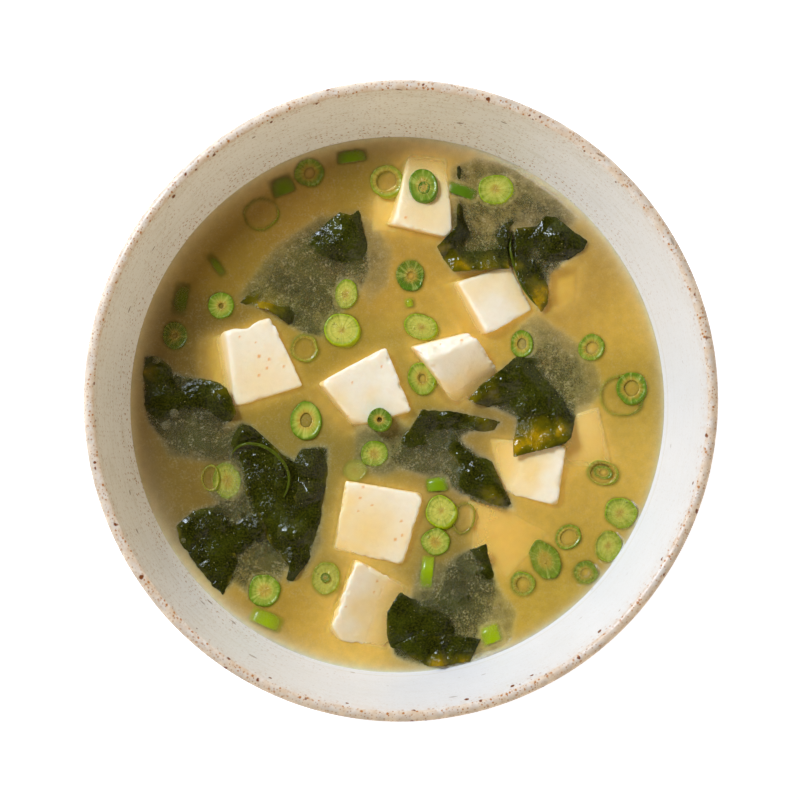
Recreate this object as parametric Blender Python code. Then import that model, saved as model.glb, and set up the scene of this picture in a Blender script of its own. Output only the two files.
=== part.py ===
"""Miso soup in its stoneware bowl: bowl, broth, eight proud blocks of tofu and ten pieces of wakame.

The origin is the middle of the bowl's underside, +Z is up, and the soup's level is LEVEL.
Lengths below are millimetres; an object's own mesh is in metres.
"""

from math import cos, exp, pi, radians, sin, sqrt

import bmesh
import bpy
from mathutils import Vector, geometry
from mathutils.bvhtree import BVHTree

MM = 0.001
GAP = 0.35  # clear space between neighbours

# The bowl, thrown round and a little oval
RIM_RADIUS = 67.9  # inside the lip
RIM_HEIGHT = 66.0
INSIDE_FLOOR = 9.0
CURVE_POWER = 0.328  # how fast the side opens out from the floor
WALL = 4.4
LIP_WALL = 2.3
OVAL = 1.013
OVAL_ANGLE = radians(79)
FOOT_RADIUS = 31.0
FOOT_WIDTH = 4.5
FOOT_EDGE = 0.9
FOOT_RECESS = 3.8
TURNS = 56
WALL_STEPS = 10

# The soup
LEVEL = 49.0
SOUP_STEPS = 7

# Tofu: four corners of the cut top as x, y and height over the soup, anticlockwise from the lower
# left, then how far the lower face is moved from it.
TOFU = {
    "tofu_a": (
        [(-36.6, -0.8, 0.9), (-21.2, 4.0, 1.2), (-28.4, 19.6, 2.0), (-38.4, 16.5, 2.6)],
        (-7.0, -2.4, -10),
    ),
    "tofu_b": (
        [(-9.6, -5.2, 0.8), (3.2, -1.6, 1.8), (-2.7, 12.8, 2.6), (-17.4, 5.0, 2.2)],
        (-4.2, -2.4, -13),
    ),
    "tofu_c": (
        [(-0.9, 40.4, 3.0), (12.6, 37.2, 2.2), (11.4, 56.2, -1.3), (2.4, 57.4, -1.0)],
        (-5.2, 0.4, -11),
    ),
    "tofu_d": (
        [(20.6, 15.6, 2.9), (30.6, 21.4, 0.7), (25.6, 31.6, 0.3), (13.6, 27.6, 1.6)],
        (-6.0, -0.5, -11),
    ),
    "tofu_e": (
        [(13.2, -1.2, -1.9), (23.6, 7.0, -0.9), (16.8, 15.8, 5.2), (4.6, 12.6, 5.6)],
        (-3.0, 0.5, -9),
    ),
    "tofu_f": (
        [(23.6, -20.2, -0.3), (35.9, -23.1, 1.9), (38.0, -9.6, 1.7), (20.0, -7.4, -2.0)],
        (0.6, 0.4, -11),
    ),
    "tofu_g": (
        [(-14.6, -33.2, -0.6), (1.1, -36.4, 1.3), (5.9, -20.4, 1.8), (-11.8, -17.4, 1.2)],
        (-0.8, 1.0, -12),
    ),
    "tofu_h": (
        [(-15.8, -52.7, 1.6), (-2.2, -56.0, -1.2), (3.2, -41.4, -1.6), (-9.3, -35.2, 2.4)],
        (-1.6, 1.0, -10),
    ),
}
TOFU_EDGE = 0.35
# A facet cut along the top: a point of it as x, y and height over the soup, and the way it faces
FACETS = {"tofu_e": ((11.4, 11.9, 4.2), (-0.22, 0.50, 0.84))}
# Corners of the cut top that are broken away: which corner, and how deep.
BREAKS = {
    "tofu_a": [(0, 0.5), (2, 0.8), (3, 0.6)],
    "tofu_b": [(0, 0.9), (3, 0.7)],
    "tofu_c": [(0, 1.0), (1, 1.6)],
    "tofu_d": [(0, 0.8)],
    "tofu_e": [(1, 0.8)],
    "tofu_f": [(1, 1.1), (2, 0.8)],
    "tofu_g": [(1, 0.9), (2, 1.2)],
    "tofu_h": [(0, 2.2), (3, 0.9)],
}

# Wakame: the torn outline, how deep the leaf lies where nothing lifts it, and the crests that lift it,
# each as x, y, rise and spread.
SHEET = 0.7  # thickness of a soaked leaf
SHEET_STEP = 3.4  # spacing of the mesh that follows its folds
WAKAME = {
    "wakame_a": (
        [(-13.2, 43.3), (-10.9, 42.6), (-8.8, 44.2), (-7.7, 39.4), (-6.8, 35.0), (-6.1, 30.2), (-8.2, 25.3),
         (-14.0, 19.0), (-17.4, 14.8), (-21.6, 15.4), (-29.2, 21.0), (-35.9, 22.7), (-31.6, 27.0),
         (-25.4, 31.8), (-21.4, 36.8), (-17.2, 40.2)],
        -1.5,
        [(-11.5, 37.5, 3.6, 5.0), (-12.0, 43.0, 3.0, 3.0), (-34.0, 23.0, 2.0, 5.0), (-18.0, 36.0, 2.2, 4.5),
         (-24.0, 19.0, 1.3, 5.0)],
    ),
    "wakame_b": (
        [(8.6, 35.4), (13.2, 40.2), (13.3, 46.0), (13.3, 54.0), (18.5, 55.0), (25.3, 52.0), (30.6, 47.0),
         (30.4, 41.6), (25.3, 40.4), (25.0, 35.0), (25.2, 30.6), (18.5, 30.0), (12.4, 29.8), (10.4, 32.6)],
        -1.9,
        [(9.5, 35.5, 4.2, 3.2), (13.8, 39.3, 3.4, 3.2), (13.0, 31.0, 4.4, 3.6), (19.0, 31.0, 3.6, 3.6),
         (24.3, 32.5, 3.8, 3.0), (24.5, 38.5, 4.2, 2.8)],
    ),
    "wakame_c": (
        [(26.6, 40.0), (26.4, 35.0), (26.3, 30.7), (27.8, 27.2), (30.0, 24.0), (32.4, 20.6), (33.9, 22.8),
         (34.5, 29.3), (38.0, 32.3), (42.0, 34.8), (43.0, 37.0), (39.3, 39.6), (35.7, 42.5), (33.2, 42.6),
         (31.6, 40.4)],
        -1.3,
        [(36.5, 38.0, 3.8, 4.5), (41.0, 36.4, 2.6, 3.0), (31.5, 23.5, 3.4, 3.6), (28.5, 29.0, 2.6, 3.2),
         (27.2, 37.0, 4.2, 2.6), (33.5, 41.2, 2.2, 2.6)],
    ),
    "wakame_d": (
        [(15.6, 0.9), (18.5, 4.1), (23.1, 7.7), (27.8, 11.6), (31.5, 12.6), (36.6, 12.6), (41.0, 9.4),
         (42.0, 5.4), (41.1, 2.0), (40.5, -2.0), (39.1, -7.8), (37.2, -9.3), (31.6, -10.7), (26.0, -12.1),
         (25.9, -8.9), (26.7, -5.9), (26.7, -3.5), (21.2, -1.0), (17.4, 0.0)],
        -1.5,
        [(17.5, 1.6, 3.4, 3.6), (22.0, 4.0, 3.0, 4.0), (27.0, 6.4, 3.6, 4.2), (32.0, 0.5, 3.0, 5.5),
         (30.0, -9.0, 3.0, 4.0), (37.0, -6.5, 2.8, 4.5), (33.5, -4.5, 1.2, 2.6)],
    ),
    "wakame_e": (
        [(5.2, -1.3), (11.8, -1.7), (16.5, -2.5), (24.0, -4.2), (21.6, -6.0), (16.6, -6.6), (13.8, -8.0),
         (16.7, -10.4), (21.2, -12.9), (22.5, -16.1), (24.4, -19.9), (26.7, -24.3), (22.6, -23.6),
         (18.5, -22.5), (13.6, -20.6), (8.6, -17.4), (1.2, -15.2), (-2.6, -12.6), (-0.2, -8.9),
         (3.2, -5.0)],
        -1.5,
        [(11.5, -2.6, 3.0, 3.6), (19.5, -3.8, 3.0, 3.4), (3.6, -6.6, 2.8, 3.6), (17.5, -16.5, 2.6, 4.6),
         (22.0, -19.5, 3.0, 3.6), (9.5, -10.0, 1.0, 3.0)],
    ),
    "wakame_f": (
        [(19.9, -31.4), (20.4, -34.4), (21.7, -37.8), (22.4, -41.4), (21.4, -45.2), (19.0, -51.0),
         (16.8, -57.4), (12.8, -59.0), (7.4, -60.0), (2.7, -59.8), (-0.9, -57.2), (-2.6, -52.2),
         (-2.5, -47.0), (0.5, -42.4), (2.8, -43.8), (5.4, -44.4), (8.4, -42.4), (9.5, -38.4),
         (11.3, -35.3), (14.5, -33.2), (17.6, -32.5)],
        -1.5,
        [(19.4, -32.8, 3.4, 2.6), (20.6, -38.5, 1.6, 3.2), (1.5, -44.5, 2.8, 3.0), (2.5, -50.0, 2.0, 5.0),
         (9.0, -50.0, 2.2, 5.0), (9.5, -58.5, 3.0, 3.6), (12.0, -44.0, 1.5, 3.2)],
    ),
    "wakame_g": (
        [(-57.4, 11.0), (-54.5, 10.6), (-52.0, 9.0), (-50.4, 7.0), (-44.7, 5.7), (-40.7, 4.8), (-38.6, 3.4),
         (-37.3, 0.8), (-36.4, -2.5), (-38.6, -5.4), (-41.4, -9.4), (-48.1, -11.0), (-53.8, -8.0),
         (-56.6, -4.1), (-57.6, 3.0)],
        -1.6,
        [(-54.5, 8.0, 2.6, 4.2), (-53.5, 0.5, 2.6, 4.6), (-40.5, 2.0, 3.2, 4.2), (-46.5, 0.8, 1.6, 4.0)],
    ),
    "wakame_h": (
        [(-35.5, -3.6), (-33.0, -4.9), (-30.3, -7.6), (-27.1, -10.5), (-24.8, -13.3), (-23.6, -16.3),
         (-23.8, -19.5), (-25.4, -22.6), (-27.6, -24.2), (-31.0, -23.6), (-34.8, -21.6), (-37.2, -17.2),
         (-38.1, -12.7), (-37.9, -9.3), (-37.1, -6.0)],
        -1.6,
        [(-36.4, -9.0, 2.4, 2.2), (-34.0, -7.0, 3.0, 2.2), (-30.6, -9.4, 3.2, 2.2),
         (-27.6, -12.0, 3.4, 2.2), (-25.4, -15.4, 3.4, 2.0), (-25.6, -19.0, 3.2, 2.0)],
    ),
    "wakame_i": (
        [(-22.0, -9.8), (-15.6, -9.3), (-15.8, -16.1), (-16.9, -21.7), (-17.5, -26.3), (-18.6, -31.9),
         (-20.4, -36.0), (-22.4, -38.5), (-24.2, -40.9), (-25.5, -40.4), (-24.5, -36.7), (-26.4, -34.2),
         (-27.9, -31.0), (-28.6, -26.6), (-27.4, -25.2), (-24.7, -23.3), (-22.9, -19.8), (-22.6, -16.4),
         (-23.6, -13.4)],
        -1.0,
        [(-20.5, -13.6, 3.6, 3.0), (-20.0, -20.0, 3.6, 3.2), (-19.4, -26.0, 1.4, 3.0),
         (-23.4, -29.0, 2.8, 3.6), (-23.4, -36.5, 3.0, 3.0), (-17.4, -16.0, 1.0, 3.0)],
    ),
    "wakame_j": (
        [(-50.0, -27.6), (-47.7, -25.6), (-44.7, -23.6), (-40.2, -22.4), (-35.4, -22.6), (-31.0, -24.6),
         (-29.5, -26.2), (-28.8, -31.0), (-30.7, -32.4), (-33.4, -34.2), (-35.0, -37.6), (-37.3, -41.4),
         (-39.8, -42.8), (-43.4, -38.8), (-46.8, -35.0), (-49.0, -31.5)],
        -1.3,
        [(-47.5, -28.5, 3.4, 3.4), (-43.0, -26.4, 2.6, 3.4), (-39.5, -31.5, 2.2, 4.0),
         (-42.0, -37.5, 2.2, 4.0), (-32.0, -27.5, 2.6, 3.4)],
    ),
}

MATERIALS = {
    "stoneware": ((0.80, 0.77, 0.72), 0.32),
    "broth": ((0.58, 0.40, 0.11), 0.10),
    "tofu": ((0.93, 0.87, 0.76), 0.35),
    "wakame": ((0.06, 0.075, 0.01), 0.15),
}


def clear_scene():
    for old in list(bpy.data.objects):
        bpy.data.objects.remove(old, do_unlink=True)


def material(name):
    colour, roughness = MATERIALS[name]
    made = bpy.data.materials.get(name)
    if made:
        return made
    made = bpy.data.materials.new(name)
    made.use_nodes = True
    shader = made.node_tree.nodes["Principled BSDF"]
    shader.inputs["Base Color"].default_value = (*colour, 1)
    shader.inputs["Roughness"].default_value = roughness
    shader.inputs["Metallic"].default_value = 0
    return made


def make_object(name, bm, finish, smooth=True):
    """Puts the mesh, modelled in millimetres, into the scene in metres."""
    bmesh.ops.recalc_face_normals(bm, faces=bm.faces)
    bmesh.ops.scale(bm, vec=(MM, MM, MM), verts=bm.verts)
    mesh = bpy.data.meshes.new(name)
    bm.to_mesh(mesh)
    bm.free()
    mesh.materials.append(material(finish))
    if smooth:
        mesh.shade_smooth()
        mesh.set_sharp_from_angle(angle=radians(40))
    made = bpy.data.objects.new(name, mesh)
    bpy.context.scene.collection.objects.link(made)
    return made


# Bowl and soup


def inner_radius(height):
    share = max(0.0, (height - INSIDE_FLOOR) / (RIM_HEIGHT - INSIDE_FLOOR))
    return RIM_RADIUS * share**CURVE_POWER


def inner_curve(top, steps):
    """The bowl's inside from the middle of its floor up to the height top, as (radius, height)."""
    heights = [INSIDE_FLOOR + (top - INSIDE_FLOOR) * (i / steps) ** 2 for i in range(steps + 1)]
    return [Vector((inner_radius(z), z)) for z in heights]


def offset_curve(curve, distances):
    """Moves each point of a profile to its right by its own distance: outwards, on the inside curve."""
    moved = []
    for i, point in enumerate(curve):
        along = (curve[min(i + 1, len(curve) - 1)] - curve[max(i - 1, 0)]).normalized()
        if i == 0:
            along = Vector((1, 0))
        moved.append(point + Vector((along.y, -along.x)) * distances[i])
    return moved


def stretch(height):
    """How oval the bowl is at a height: round at the foot, OVAL at the rim."""
    return sqrt(1 + (OVAL - 1) * (height / RIM_HEIGHT) ** 4)


def oval(radius, angle, height):
    """A point on the bowl's plan at a height."""
    along = radius * cos(angle - OVAL_ANGLE) * stretch(height)
    across = radius * sin(angle - OVAL_ANGLE) / stretch(height)
    return (
        along * cos(OVAL_ANGLE) - across * sin(OVAL_ANGLE),
        along * sin(OVAL_ANGLE) + across * cos(OVAL_ANGLE),
        height,
    )


def revolve(profile):
    """A closed turned solid. The profile starts and ends on the axis."""
    bm = bmesh.new()
    angles = [2 * pi * i / TURNS for i in range(TURNS)]
    rings = []
    for radius, height in profile[1:-1]:
        rings.append([bm.verts.new(oval(radius, a, height)) for a in angles])
    first = bm.verts.new((0, 0, profile[0][1]))
    last = bm.verts.new((0, 0, profile[-1][1]))
    for i in range(TURNS):
        j = (i + 1) % TURNS
        bm.faces.new((first, rings[0][j], rings[0][i]))
        for low, high in zip(rings, rings[1:]):
            bm.faces.new((low[i], low[j], high[j], high[i]))
        bm.faces.new((last, rings[-1][i], rings[-1][j]))
    return bm


def bowl():
    inside = inner_curve(RIM_HEIGHT, WALL_STEPS)
    walls = [WALL + (LIP_WALL - WALL) * (i / WALL_STEPS) ** 4 for i in range(WALL_STEPS + 1)]
    outside = offset_curve(inside, walls)
    inner_lip, outer_lip = inside[-1], outside[-1]
    lip_middle = (inner_lip + outer_lip) / 2
    across = (outer_lip - inner_lip) / 2
    upward = Vector((-across.y, across.x))
    lip = [lip_middle - across * cos(a) + upward * sin(a) for a in (0.6, 1.2, pi - 1.2, pi - 0.6)]
    side = [point for point in reversed(outside) if point.x > FOOT_RADIUS + 0.5]
    foot_inside = FOOT_RADIUS - FOOT_WIDTH
    foot = [
        (FOOT_RADIUS + 0.1, side[-1].y - 1.2),
        (FOOT_RADIUS, FOOT_EDGE),
        (FOOT_RADIUS - FOOT_EDGE, 0),
        (foot_inside + FOOT_EDGE, 0),
        (foot_inside, FOOT_EDGE),
        (foot_inside - FOOT_EDGE, FOOT_RECESS),
    ]
    profile = [tuple(p) for p in inside + lip + side] + foot + [(0, FOOT_RECESS)]
    make_object("bowl", revolve(profile), "stoneware")


def broth(pockets):
    """The soup, a gap inside the bowl, with a pocket for each thing that stands in it."""
    curve = inner_curve(LEVEL, SOUP_STEPS)
    skin = offset_curve(curve, [-GAP] * len(curve))
    profile = [tuple(p) for p in skin[:-1]] + [(skin[-1].x, LEVEL), (0, LEVEL)]
    soup = make_object("broth", revolve(profile), "broth")
    for name, bm in pockets:
        cutter = make_object(name + "_pocket", bm, "broth", smooth=False)
        cutter.hide_render = True
        cutter.display_type = "WIRE"
        cut = soup.modifiers.new(name, "BOOLEAN")
        cut.object = cutter
        cut.operation = "DIFFERENCE"
        cut.solver = "MANIFOLD"  # EXACT leaves a few edges open where leaves' pockets cross


def keep_in_bowl(point, clear):
    """Draws a point in along its radius until it is clear of the bowl's side."""
    radius = sqrt(point.x**2 + point.y**2)
    most = inner_radius(point.z) / stretch(point.z) - clear
    if radius > most:
        point.x *= most / radius
        point.y *= most / radius
    return point


# Tofu


def cut_away(bm, point, facing):
    """Cuts away all that lies beyond a plane, and closes the cut."""
    everything = list(bm.verts) + list(bm.edges) + list(bm.faces)
    cut = bmesh.ops.bisect_plane(
        bm, geom=everything, dist=0.001, plane_co=point, plane_no=facing, clear_outer=True
    )
    edges = [piece for piece in cut["geom_cut"] if isinstance(piece, bmesh.types.BMEdge)]
    bmesh.ops.edgeloop_fill(bm, edges=edges)


def break_off(bm, corner, depth):
    """Cuts a corner away with a plane across it."""
    middle = sum((v.co for v in bm.verts), Vector()) / len(bm.verts)
    facing = (corner - middle).normalized()
    cut_away(bm, corner - facing * depth, facing)


def tofu_block(name):
    """A knife-cut block with its breaks, and every edge a little worn."""
    corners, move = TOFU[name]
    top = [Vector(corner) + Vector((0, 0, LEVEL)) for corner in corners]
    bottom = [keep_in_bowl(corner + Vector(move), 1.2) for corner in top]
    bm = bmesh.new()
    upper = [bm.verts.new(corner) for corner in top]
    lower = [bm.verts.new(corner) for corner in bottom]
    bm.faces.new(upper)
    bm.faces.new(reversed(lower))
    for i in range(4):
        j = (i + 1) % 4
        bm.faces.new((upper[i], lower[i], lower[j], upper[j]))
    bmesh.ops.recalc_face_normals(bm, faces=bm.faces)
    for corner, depth in BREAKS[name]:
        break_off(bm, top[corner], depth)
    if name in FACETS:
        point, facing = FACETS[name]
        cut_away(bm, Vector(point) + Vector((0, 0, LEVEL)), Vector(facing))
    edges = list(bm.edges)
    bmesh.ops.bevel(bm, geom=edges, offset=TOFU_EDGE, segments=1, affect="EDGES", clamp_overlap=True)
    bmesh.ops.triangulate(bm, faces=bm.faces)
    return bm


def block_pocket(bm):
    """The room that a block takes in the soup, open to the top so that nothing overhangs it."""
    pocket = bmesh.new()
    for vert in bm.verts:
        for step in ((-GAP, -GAP), (GAP, -GAP), (GAP, GAP), (-GAP, GAP)):
            x = vert.co.x + step[0]
            y = vert.co.y + step[1]
            pocket.verts.new((x, y, vert.co.z - GAP))
            pocket.verts.new((x, y, LEVEL + 8))
    bmesh.ops.convex_hull(pocket, input=pocket.verts)
    spare = [v for v in pocket.verts if not v.link_faces]
    bmesh.ops.delete(pocket, geom=spare, context="VERTS")
    bmesh.ops.dissolve_limit(pocket, angle_limit=0.02, verts=pocket.verts, edges=pocket.edges)
    bmesh.ops.triangulate(pocket, faces=pocket.faces)
    return pocket


# Wakame


def outline_of(points):
    """The torn edge, with a point at least every SHEET_STEP."""
    edge = []
    for i, (x, y) in enumerate(points):
        start = Vector((x, y))
        end = Vector(points[(i + 1) % len(points)])
        parts = max(1, round((end - start).length / SHEET_STEP))
        edge += [start.lerp(end, k / parts) for k in range(parts)]
    return edge


def inside_outline(point, edge, clear):
    """Whether a point lies within the outline and at least clear away from it."""
    crossings = 0
    for a, b in zip(edge, edge[1:] + edge[:1]):
        if (a.y > point.y) != (b.y > point.y):
            crossings += point.x < a.x + (point.y - a.y) * (b.x - a.x) / (b.y - a.y)
        nearest = geometry.intersect_point_line(point, a, b)
        share = min(1.0, max(0.0, nearest[1]))
        if (point - a.lerp(b, share)).length < clear:
            return False
    return crossings % 2 == 1


def filling_points(edge):
    """Points on a triangular grid that fill the leaf."""
    lows = [min(p[k] for p in edge) for k in range(2)]
    highs = [max(p[k] for p in edge) for k in range(2)]
    found = []
    rows = int((highs[1] - lows[1]) / (SHEET_STEP * 0.866)) + 1
    for row in range(rows):
        y = lows[1] + row * SHEET_STEP * 0.866
        x = lows[0] + (row % 2) * SHEET_STEP / 2
        while x < highs[0]:
            point = Vector((x, y))
            if inside_outline(point, edge, SHEET_STEP * 0.55):
                found.append(point)
            x += SHEET_STEP
    return found


def leaf_height(point, depth, crests):
    """How high the middle of the leaf floats over the soup's level, lifted by its nearest crests."""
    lift = 0.0
    for x, y, rise, spread in crests:
        near = rise * exp(-((point.x - x) ** 2 + (point.y - y) ** 2) / spread**2)
        lift = max(lift, near) + 0.25 * min(lift, near)
    return depth + lift


def over_tofu(point, height, tofu_tree):
    """Lifts a point of the leaf until it clears whatever tofu lies under it or just beside it."""
    lifted = height
    reach = SHEET_STEP * 0.85
    for i in range(9):
        x = point.x + (reach * cos(i * pi / 4) if i < 8 else 0)
        y = point.y + (reach * sin(i * pi / 4) if i < 8 else 0)
        hit = tofu_tree.ray_cast(Vector((x, y, LEVEL + 30)), Vector((0, 0, -1)), 60)
        if hit[0] is not None:
            lifted = max(lifted, hit[0].z - LEVEL + SHEET / 2 + GAP)
    return lifted


def leaf_layers(name, tofu_tree):
    """The leaf's points, its triangles, and how many of the points are its edge."""
    points, depth, crests = WAKAME[name]
    edge = outline_of(points)
    flat = edge + filling_points(edge)
    rim = [(i, (i + 1) % len(edge)) for i in range(len(edge))]
    made = geometry.delaunay_2d_cdt(flat, rim, [], 1, 1e-4)
    heights = [over_tofu(p, leaf_height(p, depth, crests), tofu_tree) for p in flat]
    placed = []
    for point, height in zip(flat, heights):
        placed.append(keep_in_bowl(Vector((point.x, point.y, LEVEL + height)), 0.8))
    return placed, made[2], len(edge)


def slab(points, triangles, edge_count, above, below):
    """A closed sheet between the points moved up by above and the points moved down by below."""
    bm = bmesh.new()
    upper = [bm.verts.new(p + Vector((0, 0, above(p)))) for p in points]
    lower = [bm.verts.new(p - Vector((0, 0, below))) for p in points]
    for a, b, c in triangles:
        bm.faces.new((upper[a], upper[b], upper[c]))
        bm.faces.new((lower[c], lower[b], lower[a]))
    for i in range(edge_count):
        j = (i + 1) % edge_count
        bm.faces.new((upper[i], lower[i], lower[j], upper[j]))
    bmesh.ops.recalc_face_normals(bm, faces=bm.faces)
    bmesh.ops.triangulate(bm, faces=bm.faces)
    return bm


def grown(points, edge_count, by):
    """The same points with the leaf's edge pushed outwards."""
    moved = [p.copy() for p in points]
    for i in range(edge_count):
        before = points[i - 1 if i else edge_count - 1]
        after = points[(i + 1) % edge_count]
        along = (after - before).to_2d().normalized()
        away = Vector((along.y, -along.x, 0))
        moved[i] += away * by
    return moved


def signed_area(points):
    turns = zip(points, points[1:] + points[:1])
    return sum(a.x * b.y - b.x * a.y for a, b in turns) / 2


def wakame(name, tofu_tree):
    """Adds one leaf, and returns the room that it takes in the soup."""
    points, triangles, edge_count = leaf_layers(name, tofu_tree)
    outward = 1 if signed_area(points[:edge_count]) > 0 else -1
    room = grown(points, edge_count, outward * GAP * 2)
    pocket = slab(room, triangles, edge_count, lambda p: LEVEL + 9 - p.z, SHEET / 2 + GAP * 1.5)
    leaf = slab(points, triangles, edge_count, lambda p: SHEET / 2, SHEET / 2)
    make_object(name, leaf, "wakame")
    return pocket


def all_tofu():
    """Adds the blocks, and returns them as one search tree with the room that each takes."""
    pockets = []
    together = bmesh.new()
    for name in TOFU:
        block = tofu_block(name)
        pockets.append((name, block_pocket(block)))
        copy = bpy.data.meshes.new(name)
        block.to_mesh(copy)
        together.from_mesh(copy)
        bpy.data.meshes.remove(copy)
        make_object(name, block, "tofu", smooth=False)
    tree = BVHTree.FromBMesh(together)
    together.free()
    return tree, pockets


def main():
    clear_scene()
    bowl()
    tofu_tree, pockets = all_tofu()
    for name in WAKAME:
        pockets.append((name, wakame(name, tofu_tree)))
    broth(pockets)


main()
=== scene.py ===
"""The looks of the miso soup in its bowl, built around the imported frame.

Lengths are millimetres in the frame's own axes until a mesh is made. The sections are: noise and
mesh tools, shader tools, materials, bowl, tofu, wakame, spring onion, small things, broth, stage.
"""

from math import cos, hypot, pi, radians, sin

import bpy
import numpy as np
from mathutils import Matrix, Vector, kdtree
from mathutils.bvhtree import BVHTree


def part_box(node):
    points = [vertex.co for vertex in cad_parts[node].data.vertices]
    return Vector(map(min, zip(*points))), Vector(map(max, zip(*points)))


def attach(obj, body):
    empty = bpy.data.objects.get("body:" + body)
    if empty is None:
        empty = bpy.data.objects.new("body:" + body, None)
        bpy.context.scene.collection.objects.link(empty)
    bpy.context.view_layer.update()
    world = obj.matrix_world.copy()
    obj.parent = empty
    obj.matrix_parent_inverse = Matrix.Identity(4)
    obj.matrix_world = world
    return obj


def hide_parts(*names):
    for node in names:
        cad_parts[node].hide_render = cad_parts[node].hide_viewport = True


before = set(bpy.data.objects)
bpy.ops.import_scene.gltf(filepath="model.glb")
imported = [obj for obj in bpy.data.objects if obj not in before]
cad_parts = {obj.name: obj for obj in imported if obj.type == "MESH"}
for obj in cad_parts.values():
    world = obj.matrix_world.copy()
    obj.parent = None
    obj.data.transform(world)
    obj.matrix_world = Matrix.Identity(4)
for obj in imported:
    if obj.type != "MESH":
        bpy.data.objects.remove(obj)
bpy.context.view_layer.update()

MM = 0.001
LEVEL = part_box("broth")[1][2] / MM  # the soup's level

# The bowl's curves, as the CAD bowl has them but for a lip a little fuller with glaze
RIM_RADIUS = 67.9
RIM_HEIGHT = 66.0
INSIDE_FLOOR = 9.0
CURVE_POWER = 0.328
WALL = 4.4
LIP_WALL = 2.6
OVAL = 1.013
OVAL_ANGLE = radians(79)
FOOT_RADIUS = 31.0
FOOT_WIDTH = 4.5
FOOT_EDGE = 0.9
FOOT_RECESS = 3.8
RIM_SHIFT = (0.32, 0.27)  # the rim isn't quite over the foot
NEAR_RIM = 14.0  # how far down the rim's unevenness reaches
RIM_WAVES = 0.16  # how much the rim rises and falls
RIM_WANDER = 0.06  # and how much it strays in and out
RINGS_OUTSIDE = (4.2, 0.16)  # the throwing rings' spacing and depth
RINGS_INSIDE = (2.6, 0.05)
BARE_HEIGHT = 1.4  # the glaze stops about here over the foot's underside
PROFILE_STEPS = 64
LIP_STEPS = 9
BOWL_TURNS = 320
LIGHT_FROM = radians(138)  # which way the main light comes from


# Noise and mesh tools


def lattice(cells, seed):
    """A repeatable number from 0 to 1 for each whole-number cell."""
    mixed = cells[:, 0] * 73856093 ^ cells[:, 1] * 19349663 ^ cells[:, 2] * 83492791
    mixed = (mixed ^ seed * 1640531513) & 0xFFFFFFFF
    mixed = (mixed ^ mixed >> 15) * 2246822519 & 0xFFFFFFFF
    mixed = (mixed ^ mixed >> 13) * 3266489917 & 0xFFFFFFFF
    return (mixed ^ mixed >> 16) / 0xFFFFFFFF


def noise(points, size, seed, octaves=1):
    """Smooth noise from about -1 to 1, with features about size across."""
    total = np.zeros(len(points))
    weight = 0.0
    for octave in range(octaves):
        place = points / size * 2**octave + 7.31 * (seed % 50) + 3.7 * octave
        cell = np.floor(place).astype(np.int64)
        part = place - cell
        part = part * part * (3 - 2 * part)
        value = np.zeros(len(points))
        for corner in np.ndindex(2, 2, 2):
            share = np.prod(np.where(corner, part, 1 - part), axis=1)
            value += share * lattice(cell + corner, seed + octave)
        total += (2 * value - 1) * 0.5**octave
        weight += 0.5**octave
    return total / weight


def flat_noise(x, y, size, seed, octaves=1):
    """Noise over a plane."""
    shape = np.shape(x)
    points = np.stack([np.ravel(x), np.ravel(y), np.full(np.size(x), 0.5)], axis=1)
    return noise(points, size, seed, octaves).reshape(shape)


def smooth_step(low, high, value):
    share = np.clip((value - low) / (high - low), 0, 1)
    return share * share * (3 - 2 * share)


def blend(a, b, share):
    """Mixes colours a and b, with one share for each point."""
    share = np.asarray(share)[..., None]
    return np.asarray(a) * (1 - share) + np.asarray(b) * share


def away_from(points, x, y):
    """How far each point is from an upright line."""
    return np.hypot(points[:, 0] - x, points[:, 1] - y)


def spun(profile, turns):
    """A profile turned round: the radius, height and angle of each point, row by row."""
    radius, height = np.repeat(profile.T[:, :, None], turns, axis=2)
    return radius, height, np.tile(2 * pi * np.arange(turns) / turns, (len(profile), 1))


def quads(rows, columns, start=0, round_rows=False, round_columns=True):
    """Faces over a grid of points. Either way, the last may join on to the first."""
    return [
        tuple(start + a * columns + b for a, b in ((i, j), (m, j), (m, k), (i, k)))
        for i, m in neighbours(rows, round_rows)
        for j, k in neighbours(columns, round_columns)
    ]


def neighbours(count, joined):
    """Each number below count with the next."""
    return [(i, (i + 1) % count) for i in range(count if joined else count - 1)]


def capped(rows, turns, start=0):
    """Faces over rows of points round an axis, with a point at either end that comes after them."""
    first = start + rows * turns
    low = start + (rows - 1) * turns
    faces = quads(rows, turns, start)
    for j, k in neighbours(turns, True):
        faces += [(first, start + j, start + k), (first + 1, low + k, low + j)]
    return faces


def add_piece(name, points, faces, material, replaced=(), sharp=None):
    """Adds a mesh that rides with the bowl. points are in millimetres."""
    mesh = bpy.data.meshes.new(name)
    mesh.from_pydata((np.asarray(points) * MM).tolist(), [], faces)
    mesh.shade_smooth()
    if sharp:
        mesh.set_sharp_from_angle(angle=radians(sharp))
    mesh.materials.append(material)
    made = bpy.data.objects.new(name, mesh)
    bpy.context.scene.collection.objects.link(made)
    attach(made, "root")
    if replaced:
        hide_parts(*replaced)
    return made


def give(piece, name, kind, field, values, domain="POINT"):
    made = piece.data.attributes.new(name, kind, domain)
    made.data.foreach_set(field, np.asarray(values, dtype=np.float32).ravel())


def give_values(piece, name, values):
    give(piece, name, "FLOAT", "value", values)


def give_colours(piece, name, colours):
    give(piece, name, "FLOAT_COLOR", "color", np.insert(colours, 3, 1.0, axis=1))


def give_vectors(piece, name, vectors, domain="POINT"):
    give(piece, name, "FLOAT_VECTOR", "vector", vectors, domain)


def mesh_arrays(mesh):
    points = np.empty(len(mesh.vertices) * 3)
    mesh.vertices.foreach_get("co", points)
    faces = [tuple(polygon.vertices) for polygon in mesh.polygons]
    return points.reshape(-1, 3), faces


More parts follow.
